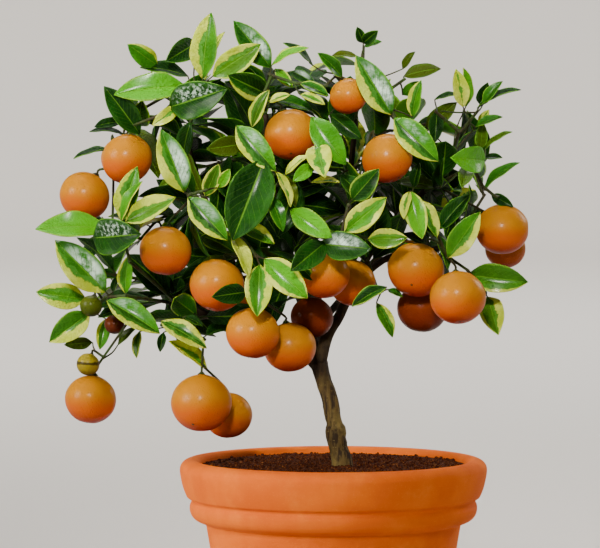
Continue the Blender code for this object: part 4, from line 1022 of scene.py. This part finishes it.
def add_blade(shape, leaf, look, layers, columns=BLADE_COLUMNS, rows=BLADE_ROWS):
    """Adds a leaf's blade as one sheet, drawn out of a flat grid over the solid blade's form."""
    blade, looks = layers
    wave, turn, curl = leaf_draws.uniform(0, math.tau), leaf_draws.uniform(-1, 1), leaf_draws.uniform(0.4, 1)
    # A look's lightness is partly painted shade, its half shift is painted light and shade, and its last
    # value is painted glare.
    left_cream, right_cream, light, painted_half_light, olive, bloom_and_painted_glare = look
    light += leaf_draws.uniform(-0.06, 0.06)
    sheet = bmesh.ops.create_grid(shape, x_segments=columns, y_segments=rows, size=1)["verts"]
    for spot in sheet:
        column = round(abs(spot.co.x) * BLADE_COLUMNS / 2)
        across = math.copysign(COLUMN_PLACES[column], spot.co.x)
        share = (spot.co.y + 1) / 2
        share = share + 0.045 * math.sin(math.tau * share)
        ripple = 0.09 * across**2 * math.sin(math.tau * 1.6 * share + wave + turn * across)
        ripple -= 0.06 * curl * abs(across) ** 3
        spot.co = blade_place(leaf, across, share, ripple) * MM
        spot[blade] = ((across + 1) / 2, share, left_cream, right_cream)
        spot[looks] = (light, olive, painted_half_light, bloom_and_painted_glare)


def blade_net(leaf):
    """A blade as a coarse net of points and faces."""
    points = [blade_place(leaf, across, share) for share in NET_SHARES for across in (-1, 0, 1)]
    starts = [3 * row + column for row in range(len(NET_SHARES) - 1) for column in (0, 1)]
    return points, [(start, start + 1, start + 4, start + 3) for start in starts]


def net_of(nets):
    """One search tree of many nets."""
    points, faces = [], []
    for net_points, net_faces in nets:
        faces += [tuple(len(points) + corner for corner in face) for face in net_faces]
        points += net_points
    return BVHTree.FromPolygons(points, faces)


def net_of_solid(name):
    """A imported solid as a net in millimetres."""
    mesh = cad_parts[name].data
    return [vertex.co / MM for vertex in mesh.vertices], [tuple(face.vertices) for face in mesh.polygons]


def shown_at(point):
    """Where a point shows to the front, as (x, z)."""
    share = -FRONT_EYE.y / (point.y - FRONT_EYE.y)
    shown = FRONT_EYE + (point - FRONT_EYE) * share
    return shown.x, shown.z


def in_dense_part(x, z):
    """Whether a front place lies within DENSE_OUTLINE, by counting the edges to its right."""
    inside = False
    for (x1, z1), (x2, z2) in zip(DENSE_OUTLINE, DENSE_OUTLINE[1:] + DENSE_OUTLINE[:1]):
        if (z1 > z) != (z2 > z) and x < x1 + (z - z1) * (x2 - x1) / (z2 - z1):
            inside = not inside
    return inside


def has_room(leaf, shown, solid, added):
    """Whether a shade leaf keeps inside the crown, clear of the rest, and behind what shows."""
    points, faces = blade_net(leaf)
    for point in points:
        away = point - CROWN_MIDDLE
        if sum((away[axis] / CROWN_HALF[axis]) ** 2 for axis in range(3)) > 1:
            return False
        if any(not cad_low[axis] / MM + BOX_ROOM < point[axis] < cad_high[axis] / MM - BOX_ROOM
               for axis in range(3)):
            return False
        if any((point - fruit["centre"]).length < fruit["radius"] + FRUIT_ROOM for fruit in fruits):
            return False
        way = (point - FRONT_EYE).normalized()
        if shown.ray_cast(point + way * 0.5, way)[0]:
            return False
        if not shown.ray_cast(point - way * 0.5, -way)[0] and not in_dense_part(*shown_at(point)):
            return False
    own = BVHTree.FromPolygons(points, faces)
    return not own.overlap(solid) and not (added and own.overlap(added))


def shade_leaf(root, aim, length):
    """A leaf from a point of the wood this way, with its face turned partly up and outwards."""
    out = (root - CROWN_HEART).normalized()
    base = root + aim * SHADE_PETIOLE
    tip = base + (aim - UP * 0.2).normalized() * length
    drawn = Vector([shade_draws.gauss(0, 0.5) for _ in range(3)])
    normal = UP * 0.5 + out * 0.6 + Vector((0, -0.4, 0)) + drawn
    return Leaf(root, base, tip, normal, length * shade_draws.uniform(*SHADE_WIDTHS))


def gap_length(aim):
    """The length of a leaf that reaches across a gap."""
    return min(58, max(34, aim.length * 1.7))


def leaf_material():
    """Waxy leaf: green flames round a pale rib, a torn cream edge, faint veins and a bright gloss, with
    painted light and shade on each leaf and each half, and patches of painted glare.
    """
    material, tree, shader = new_material("variegated_leaf", 0.45, Specular_IOR_Level=0.07,
                                          Coat_Roughness=0.21)
    place = places_of(tree)
    blade = tree.nodes.new("ShaderNodeAttribute")
    blade.attribute_name = "blade"
    look = tree.nodes.new("ShaderNodeAttribute")
    look.attribute_name = "look"
    parts = tree.nodes.new("ShaderNodeSeparateColor")
    tree.links.new(blade.outputs["Color"], parts.inputs[0])
    tones = tree.nodes.new("ShaderNodeSeparateColor")
    tree.links.new(look.outputs["Color"], tones.inputs[0])
    side = maths(tree, "MULTIPLY_ADD", parts.outputs[0], 2, -1)
    out = maths(tree, "ABSOLUTE", side)
    along = parts.outputs[1]
    on_right = maths(tree, "GREATER_THAN", side, 0)
    cream_left, cream_right = parts.outputs[2], blade.outputs["Alpha"]
    apart = maths(tree, "SUBTRACT", cream_right, cream_left)
    cream = maths(tree, "MULTIPLY_ADD", apart, on_right, cream_left)
    torn = mottle(tree, place, 150, 3, 0.6)
    streaky = maths(tree, "SUBTRACT", torn, 0.5)
    broad = maths(tree, "MULTIPLY_ADD", mottle(tree, place, 42, 1), 1.7, 0.15)
    wide = maths(tree, "MULTIPLY", cream, broad)
    reach = maths(tree, "MULTIPLY_ADD", streaky, maths(tree, "MULTIPLY_ADD", cream, 1.1, 0.10), wide)
    edge = maths(tree, "SUBTRACT", 1, reach)
    is_cream = step_up(tree, out, maths(tree, "SUBTRACT", edge, 0.03), maths(tree, "ADD", edge, 0.08))
    near_cream = maths(tree, "MULTIPLY_ADD", mottle(tree, place, 95, 2), -0.55, edge)
    is_flame = step_up(tree, out, near_cream, maths(tree, "ADD", near_cream, 0.05))

    light, olive = tones.outputs[0], tones.outputs[1]
    clouds = mottle(tree, place, 60, 3)
    # Painted light and shade: each look lights the left half and shades the right one by its own amount, and
    # its lightness is partly painted shade.
    painted_half_light_shift = maths(tree, "MULTIPLY", tones.outputs[2], maths(tree, "SUBTRACT", 0.5, on_right))
    cloudy = maths(tree, "MULTIPLY_ADD", clouds, 0.5, -0.25)
    lit = maths(tree, "ADD", light, maths(tree, "ADD", cloudy, painted_half_light_shift), clamp=True)
    green = mixed(tree, step_up(tree, lit, 0.0, 0.55), GREEN_DARK, GREEN)
    green = mixed(tree, step_up(tree, lit, 0.45, 1.0), green, GREEN_LIGHT)
    green = mixed(tree, maths(tree, "MULTIPLY", olive, 0.75), green, GREEN_OLIVE)
    flame = mixed(tree, 0.62, green, FLAME)
    flame_share = maths(tree, "MULTIPLY", is_flame, maths(tree, "MULTIPLY_ADD", cream, 0.9, 0.12, clamp=True))
    colour = mixed(tree, flame_share, green, flame)
    pale = mixed(tree, step_up(tree, clouds, 0.35, 0.65), CREAM, CREAM_YELLOW)
    # Painted shade: the cream edge turns olive as the leaf's lightness drops.
    pale = mixed(tree, maths(tree, "MULTIPLY", maths(tree, "SUBTRACT", 1, light), 0.35), pale, GREEN_OLIVE)
    pale = mixed(tree, step_up(tree, cream, 0.06, 0.32), EDGE_GREEN, pale)
    colour = mixed(tree, is_cream, colour, pale)

    slant = maths(tree, "MULTIPLY_ADD", out, -0.30, along)
    wavy = maths(tree, "MULTIPLY_ADD", mottle(tree, place, 40, 1), 0.05, slant)
    comb = maths(tree, "PINGPONG", wavy, 0.05)
    vein = step_up(tree, comb, 0.007, 0.0)
    vein = maths(tree, "MULTIPLY", vein, step_up(tree, out, 1.0, 0.55))
    rib = step_up(tree, out, 0.07, 0.02)
    lines = maths(tree, "MAXIMUM", rib, maths(tree, "MULTIPLY", vein, 0.35))
    colour = mixed(tree, maths(tree, "MULTIPLY", lines, 0.5), colour, RIB_GREEN)
    # Painted glare: pale, near-white patches and sparkles on one half of some leaves, weaker towards the tip
    # and kept off the edge and the ends.
    bloom_and_painted_glare = look.outputs["Alpha"]
    strength = maths(tree, "ABSOLUTE", bloom_and_painted_glare)
    grains = step_up(tree, mottle(tree, place, 330, 4, 0.7), 0.47, 0.62)
    patches = mottle(tree, place, 75, 4, 0.65)
    painted_glare_patches = step_up(tree, maths(tree, "MULTIPLY_ADD", lines, -0.5, patches), 0.34, 0.60)
    full = maths(tree, "MULTIPLY", strength, 1.2)
    fading = maths(tree, "MULTIPLY_ADD", step_up(tree, along, 0.40, 0.85), -0.7, full)
    painted_glare_mask = maths(tree, "MULTIPLY", painted_glare_patches, fading, clamp=True)
    in_sparkles = maths(tree, "GREATER_THAN", strength, 1.1)
    sparkles = maths(tree, "MULTIPLY", grains, maths(tree, "SUBTRACT", strength, 1))
    painted_glare_mask = maths(tree, "MULTIPLY_ADD", in_sparkles, maths(tree, "SUBTRACT", sparkles, painted_glare_mask), painted_glare_mask)
    painted_glare_mask = maths(tree, "MULTIPLY", painted_glare_mask, step_up(tree, maths(tree, "MULTIPLY", side, bloom_and_painted_glare), 0.0, 0.12))
    painted_glare_mask = maths(tree, "MULTIPLY", painted_glare_mask, step_up(tree, maths(tree, "PINGPONG", along, 0.5), 0.05, 0.32))
    painted_glare_mask = maths(tree, "MULTIPLY", painted_glare_mask, step_up(tree, out, 0.98, 0.62))
    colour = mixed(tree, painted_glare_mask, colour, PAINTED_GLARE)
    tree.links.new(colour, shader.inputs["Base Color"])
    sunk = maths(tree, "SUBTRACT", 1, lines)
    veins = raised(tree, shader, sunk, 0.0005)
    dimples = maths(tree, "MULTIPLY_ADD", torn, 0.6, mottle(tree, place, 420, 3))
    raised(tree, shader, dimples, 0.0015, veins)
    gloss = step_up(tree, light, 0.02, 0.30)
    tree.links.new(maths(tree, "MULTIPLY_ADD", gloss, 0.27, 0.05), shader.inputs["Coat Weight"])
    return material


GREEN_DARK, GREEN, GREEN_LIGHT = (0.002, 0.024, 0.001), (0.013, 0.125, 0.001), (0.090, 0.430, 0.001)
GREEN_OLIVE = (0.090, 0.120, 0.003)
FLAME = (0.100, 0.330, 0.040)
CREAM, CREAM_YELLOW = (0.740, 0.840, 0.100), (0.480, 0.610, 0.014)
EDGE_GREEN = (0.130, 0.360, 0.014)
RIB_GREEN = (0.160, 0.400, 0.020)
# Painted glare colour
PAINTED_GLARE = (0.660, 0.880, 0.700)

leaf_skin = leaf_material()
leaf_count = 0
kept = {spray: [] for spray in SPRAYS}
for spray in SPRAYS:
    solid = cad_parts["spray_" + spray]
    tree = kdtree.KDTree(len(solid.data.vertices))
    for index, vertex in enumerate(solid.data.vertices):
        tree.insert(vertex.co / MM, index)
    tree.balance()
    for row, letter in zip(LEAVES.get(spray, ()), LOOKS_SEEN.get(spray, "")):
        leaf = best_met([front_leaf(row, own_spots[spray], shift) for shift in DEPTH_SHIFTS], tree)
        if leaf:
            kept[spray].append((leaf, LOOKS[letter], ()))
    spots = range(FIRST_FILL, len(own_spots[spray]) - 1)
    spread = [spots[int(len(spots) * (step * GOLDEN_SHARE % 1))] for step in range(FILL_SPOTS)]
    for index, spot in enumerate(spread):
        root = own_spots[spray][spot]
        way = (own_spots[spray][spot + 1] - own_spots[spray][spot - 1]).normalized()
        tries = [drawn_leaf(root, way, index * GOLDEN_ANGLE + 2 * step) for step in range(FILL_TRIES)]
        leaf = best_met(tries, tree)
        if leaf:
            letters = LOOKS_ADDED_FRONT if leaf.base.y < FRONT_PART else LOOKS_ADDED
            kept[spray].append((leaf, LOOKS[letters[leaf_count % len(letters)]], ()))
            leaf_count += 1
packed_leaves = [leaf for leaves in kept.values() for leaf, _, _ in leaves]
shown_nets = [blade_net(leaf) for leaf in packed_leaves if leaf.base.y < LAST_SEEN_DEPTH]
shown_nets += [net_of_solid(fruit["name"]) for fruit in fruits if fruit["centre"].y < LAST_SEEN_DEPTH]
shown = net_of(shown_nets)
solid = net_of([blade_net(leaf) for leaf in packed_leaves] + [net_of_solid("trunk")])
shade_nets, added = [], None


def keep_shade_leaf(spray, leaf):
    """Keeps a shade leaf that has room, and says whether it has."""
    global added
    if not has_room(leaf, shown, solid, added):
        return False
    look = LOOKS[LOOKS_SHADE[len(shade_nets) % len(LOOKS_SHADE)]]
    kept[spray].append((leaf, look, (SHADE_COLUMNS, SHADE_ROWS)))
    shade_nets.append(blade_net(leaf))
    added = net_of(shade_nets)
    return True


for spray, spots in own_spots.items():
    grown = 0
    for _ in range(SHADE_TRIES):
        root = spots[shade_draws.randrange(FIRST_FILL, len(spots) - 1)]
        drawn = Vector([shade_draws.gauss(0, 1) for _ in range(3)]).normalized()
        aim = (drawn + (root - CROWN_HEART).normalized() * 0.4).normalized()
        grown += keep_shade_leaf(spray, shade_leaf(root, aim, shade_draws.uniform(*SHADE_LENGTHS)))
        if grown == SHADE_LEAVES:
            break
wood_spots = [(spot, spray) for spray, spots in own_spots.items() for spot in spots[FIRST_FILL:]]
wood_tree = kdtree.KDTree(len(wood_spots))
for index, (spot, _) in enumerate(wood_spots):
    wood_tree.insert(spot, index)
wood_tree.balance()
for x in range(-160, 125, GAP_STEP):
    for z in range(315, 550, GAP_STEP):
        near = seen_at(x, z, -140)
        way = (near - FRONT_EYE).normalized()
        covered = shown.ray_cast(near, way)[0] or (added and added.ray_cast(near, way)[0])
        if covered or not in_dense_part(x, z):
            continue
        for depth in GAP_DEPTHS:
            target = seen_at(x, z, depth)
            nearest = wood_tree.find_n(target, 30)
            found = [wood_spots[index] for _, index, far in nearest if 12 < far < GAP_REACH]
            aims = [(spot, spray, (target - spot)) for spot, spray in found[::6]]
            if any(keep_shade_leaf(spray, shade_leaf(spot, aim.normalized(), gap_length(aim)))
                   for spot, spray, aim in aims):
                break
for spray, leaves in kept.items():
    shape = bmesh.new()
    layers = [shape.verts.layers.float_color.new(name) for name in ("blade", "look")]
    for leaf, look, fineness in leaves:
        add_blade(shape, leaf, look, layers, *fineness)
    blades = finished("leaves_" + spray, shape, leaf_skin, "leaf", "spray_" + spray, sharp=0, margin=0.0004)
    thick = blades.modifiers.new("thickness", "SOLIDIFY")
    thick.thickness = BLADE_THICKNESS * MM
    thick.offset = 0
    shape = bmesh.new()
    for leaf, _, fineness in leaves:
        bend = (leaf.root + leaf.base) / 2 - leaf.up * 0.08 * (leaf.base - leaf.root).length
        inner = leaf.base + leaf.along * 0.12 * (leaf.tip - leaf.base).length
        path = smooth_path([leaf.root, bend, leaf.base, inner])
        radii = [(STALK_HALF + 0.15 - 0.35 * index / (len(path) - 1)) * MM for index in range(len(path))]
        grow_tube(shape, path, radii, 6)
    bmesh.ops.recalc_face_normals(shape, faces=shape.faces)
    finished("leaf_stalks_" + spray, shape, green_wood, "leaf", "spray_" + spray, sharp=0)
# Oranges
# Round fruit of about 40 mm, with glossy, finely pitted peel. Each hangs from its stalk by a small
# green calyx, and ends in a brown dot where the flower was. Three are still unripe.

# The fruits whose flower's dot shows from the front: (across, up), as shares of the radius
DOTS = {"orange_01": (0.54, 0.0), "orange_02": (0.0, -0.73), "orange_14": (-0.27, -0.67),
        "orange_16": (-0.18, -0.5)}
# Each peel: (middle, painted light on top, painted shade below)
PEELS = {
    "ripe_peel": ((0.52, 0.090, 0.0), (0.50, 0.190, 0.0), (0.28, 0.014, 0.0)),
    "dull_peel": ((0.44, 0.080, 0.0), (0.44, 0.140, 0.0), (0.22, 0.014, 0.0)),
    # Painted shade: a near-black red peel for two oranges that lie in deep shade
    "painted_shade_peel": ((0.160, 0.018, 0.0), (0.200, 0.034, 0.0), (0.050, 0.004, 0.0)),
    "green_peel": ((0.045, 0.065, 0.004), (0.070, 0.095, 0.006), (0.012, 0.020, 0.002)),
    "turning_peel": ((0.230, 0.170, 0.008), (0.290, 0.230, 0.012), (0.060, 0.045, 0.006)),
    # Partly painted shade: a near-black red-brown for the small fruit deep in the crown
    "brown_painted_shade_peel": ((0.075, 0.012, 0.003), (0.100, 0.020, 0.004), (0.020, 0.004, 0.002)),
}
# orange_12 and orange_18 wear painted shade, a near-black red peel.
PEEL_OF = {
    "orange_12": "painted_shade_peel", "orange_18": "painted_shade_peel", "orange_20": "dull_peel",
    "unripe_orange_01": "green_peel", "unripe_orange_02": "turning_peel", "unripe_orange_03": "brown_painted_shade_peel",
}
BANDED = "turning_peel"


def peel_material(name, middle, light, deep):
    """Waxy peel: painted light on top and painted shade below, redder and darker towards the bottom, over
    thousands of oil pits.
    """
    material, tree, shader = new_material(name, 0.42, Specular_IOR_Level=0.05, Coat_Weight=0.16,
                                          Coat_Roughness=0.24)
    place = places_of(tree)
    # The colour follows the normal: painted light where the peel faces up, and painted shade, redder and near
    # black, where it faces down.
    facing = tree.nodes.new("ShaderNodeSeparateXYZ")
    tree.links.new(tree.nodes.new("ShaderNodeNewGeometry").outputs["Normal"], facing.inputs[0])
    clouds = mottle(tree, place, 55, 3)
    cloudy = maths(tree, "MULTIPLY_ADD", clouds, 0.36, -0.18)
    top = maths(tree, "ADD", facing.outputs["Z"], cloudy)
    colour = mixed(tree, step_up(tree, top, -1.05, -0.42), deep, middle)
    colour = mixed(tree, step_up(tree, top, -0.45, 0.40), colour, light)
    pits = cells(tree, place, 620)
    speckle = step_up(tree, pits, 0.30, 0.05)
    colour = mixed(tree, maths(tree, "MULTIPLY", speckle, 0.04), colour, deep)
    if name == BANDED:
        height = maths(tree, "MULTIPLY_ADD", clouds, 0.7, maths(tree, "SUBTRACT", facing.outputs["Z"], 0.45))
        colour = mixed(tree, step_up(tree, maths(tree, "ABSOLUTE", height), 0.20, 0.08), colour, deep)
    dot = tree.nodes.new("ShaderNodeAttribute")
    dot.attribute_name = "flower_dot"
    colour = mixed(tree, dot.outputs["Fac"], colour, (0.09, 0.045, 0.015))
    tree.links.new(colour, shader.inputs["Base Color"])
    pitted = raised(tree, shader, step_up(tree, pits, 0.05, 0.42), 0.00022)
    raised(tree, shader, clouds, 0.0008, pitted)
    return material


peels = {name: peel_material(name, *colours) for name, colours in PEELS.items()}
for fruit in fruits:
    radius = fruit["radius"]
    shape = bmesh.new()
    dots = shape.verts.layers.float_color.new("flower_dot")
    bmesh.ops.create_uvsphere(shape, u_segments=52, v_segments=34, radius=1)
    dent, lobes = stem_disc(radius) / radius, 0.004 if fruit["kind"] == "orange" else 0.012
    for spot in shape.verts:
        x, y, z = spot.co
        away, angle = math.hypot(x, y), math.atan2(y, x)
        pucker = math.exp(-((away - dent) / 0.16) ** 2) * (1 if z > 0 else 0)
        uneven = 0.012 * noise.noise(spot.co * 1.7 + fruit["centre"])
        swell = 1 + lobes * math.cos(9 * angle) * pucker + uneven
        foot = 0.035 * math.exp(-((away / 0.16) ** 2)) if z < 0 else 0
        top = min(z * swell, stem_height(radius) / radius / FRUIT_FLATNESS + 0.01 * pucker) if z > 0 else z
        spot.co = Vector((x * swell, y * swell, (top + foot) * FRUIT_FLATNESS)) * radius * MM
    turn = UP.rotation_difference(fruit["stem"]).to_matrix()
    bmesh.ops.transform(shape, matrix=turn.to_4x4(), verts=shape.verts)
    towards = turn @ Vector((0, 0, -1))
    if fruit["name"] in DOTS:
        across, up = DOTS[fruit["name"]]
        towards = Vector((across, -math.sqrt(1 - across**2 - up**2), up))
    surface_place = towards * radius * (0.955 if fruit["name"] in DOTS else FRUIT_FLATNESS - 0.036)
    place = Matrix.Translation(surface_place * MM) @ UP.rotation_difference(towards).to_matrix().to_4x4()
    button = bmesh.ops.create_uvsphere(shape, u_segments=14, v_segments=7, radius=0.055 * radius * MM,
                                       matrix=place @ Matrix.Diagonal((1, 1, 0.45, 1)))["verts"]
    for spot in shape.verts:
        spot[dots] = (0, 0, 0, 1)
    for spot in button:
        spot[dots] = (1, 1, 1, 1)
    bmesh.ops.translate(shape, verts=shape.verts, vec=fruit["centre"] * MM)
    slot = "orange_peel" if fruit["kind"] == "orange" else "unripe_peel"
    peel = peels[PEEL_OF.get(fruit["name"], "ripe_peel")]
    finished(fruit["name"] + "_peel", shape, peel, slot, fruit["name"], sharp=0)

# Studio
# A wide pale floor that curves up into a low round wall, a narrow key light from the front, a wide
# one from the left, weak ones from above and behind, and a camera at the photograph's angle.

FLOOR = (0.64, 0.61, 0.57)
FLOOR_RADIUS, COVE, WALL_TOP = 8200, 1200, 2600
sweep = [(0, 0), (FLOOR_RADIUS, 0)]
for step in range(1, 13):
    angle = math.pi / 2 * step / 12
    sweep.append((FLOOR_RADIUS + COVE * math.sin(angle), COVE - COVE * math.cos(angle)))
sweep.append((FLOOR_RADIUS + COVE, WALL_TOP))
floor_shape = turned(sweep, 96)
floor_mesh = bpy.data.meshes.new("studio_floor")
floor_shape.to_mesh(floor_mesh)
floor_shape.free()
floor_mesh.shade_smooth()
floor_paint, floor_tree, floor_shader = new_material("pale_floor", 0.9)
floor_shader.inputs["Base Color"].default_value = (*FLOOR, 1)
floor_mesh.materials.append(floor_paint)
floor = bpy.data.objects.new("studio_floor", floor_mesh)
bpy.context.scene.collection.objects.link(floor)


def soft_light(name, place, aim, size, power, colour, spread=180):
    """A square soft light that faces a point, with its beam held to this many degrees."""
    lamp = bpy.data.lights.new(name, "AREA")
    lamp.shape = "SQUARE"
    lamp.size = size
    lamp.energy = power
    lamp.spread = math.radians(spread)
    lamp.color = colour
    item = bpy.data.objects.new(name, lamp)
    item.location = place
    item.rotation_mode = "QUATERNION"
    item.rotation_quaternion = (Vector(place) - Vector(aim)).to_track_quat("Z", "Y")
    bpy.context.scene.collection.objects.link(item)
    return item


soft_light("key", (-0.30, -3.05, 1.80), (-0.03, 0, 0.48), 0.4, 1.12, (1.0, 0.95, 0.88), 13)
soft_light("side", (-2.6, -1.3, 1.3), (-0.03, 0, 0.22), 1.6, 11, (1.0, 0.95, 0.88), 40)
soft_light("top", (-0.9, -0.5, 3.6), (0, 0, 0.30), 2.5, 25, (1.0, 0.97, 0.92))
soft_light("rim", (1.9, 1.5, 1.5), (0, 0, 0.40), 1.0, 30, (1.0, 0.95, 0.88))
soft_light("wall", (0, 3.9, 6.0), (0, 9, 0), 3.5, 820, (1.0, 0.98, 0.95))
world = bpy.data.worlds.new("studio_air")
world.use_nodes = True
world.node_tree.nodes["Background"].inputs["Color"].default_value = (0.95, 0.93, 0.90, 1)
world.node_tree.nodes["Background"].inputs["Strength"].default_value = 0.08
bpy.context.scene.world = world

camera_lens = bpy.data.cameras.new("camera")
camera_lens.sensor_width = 36
camera_lens.lens = 266
camera_lens.clip_start, camera_lens.clip_end = 0.1, 50
camera = bpy.data.objects.new("camera", camera_lens)
camera.location = (-0.0272, -3.595, 0.564)
camera.rotation_euler = (math.radians(90 - 3), 0, 0)
bpy.context.scene.collection.objects.link(camera)
bpy.context.scene.camera = camera
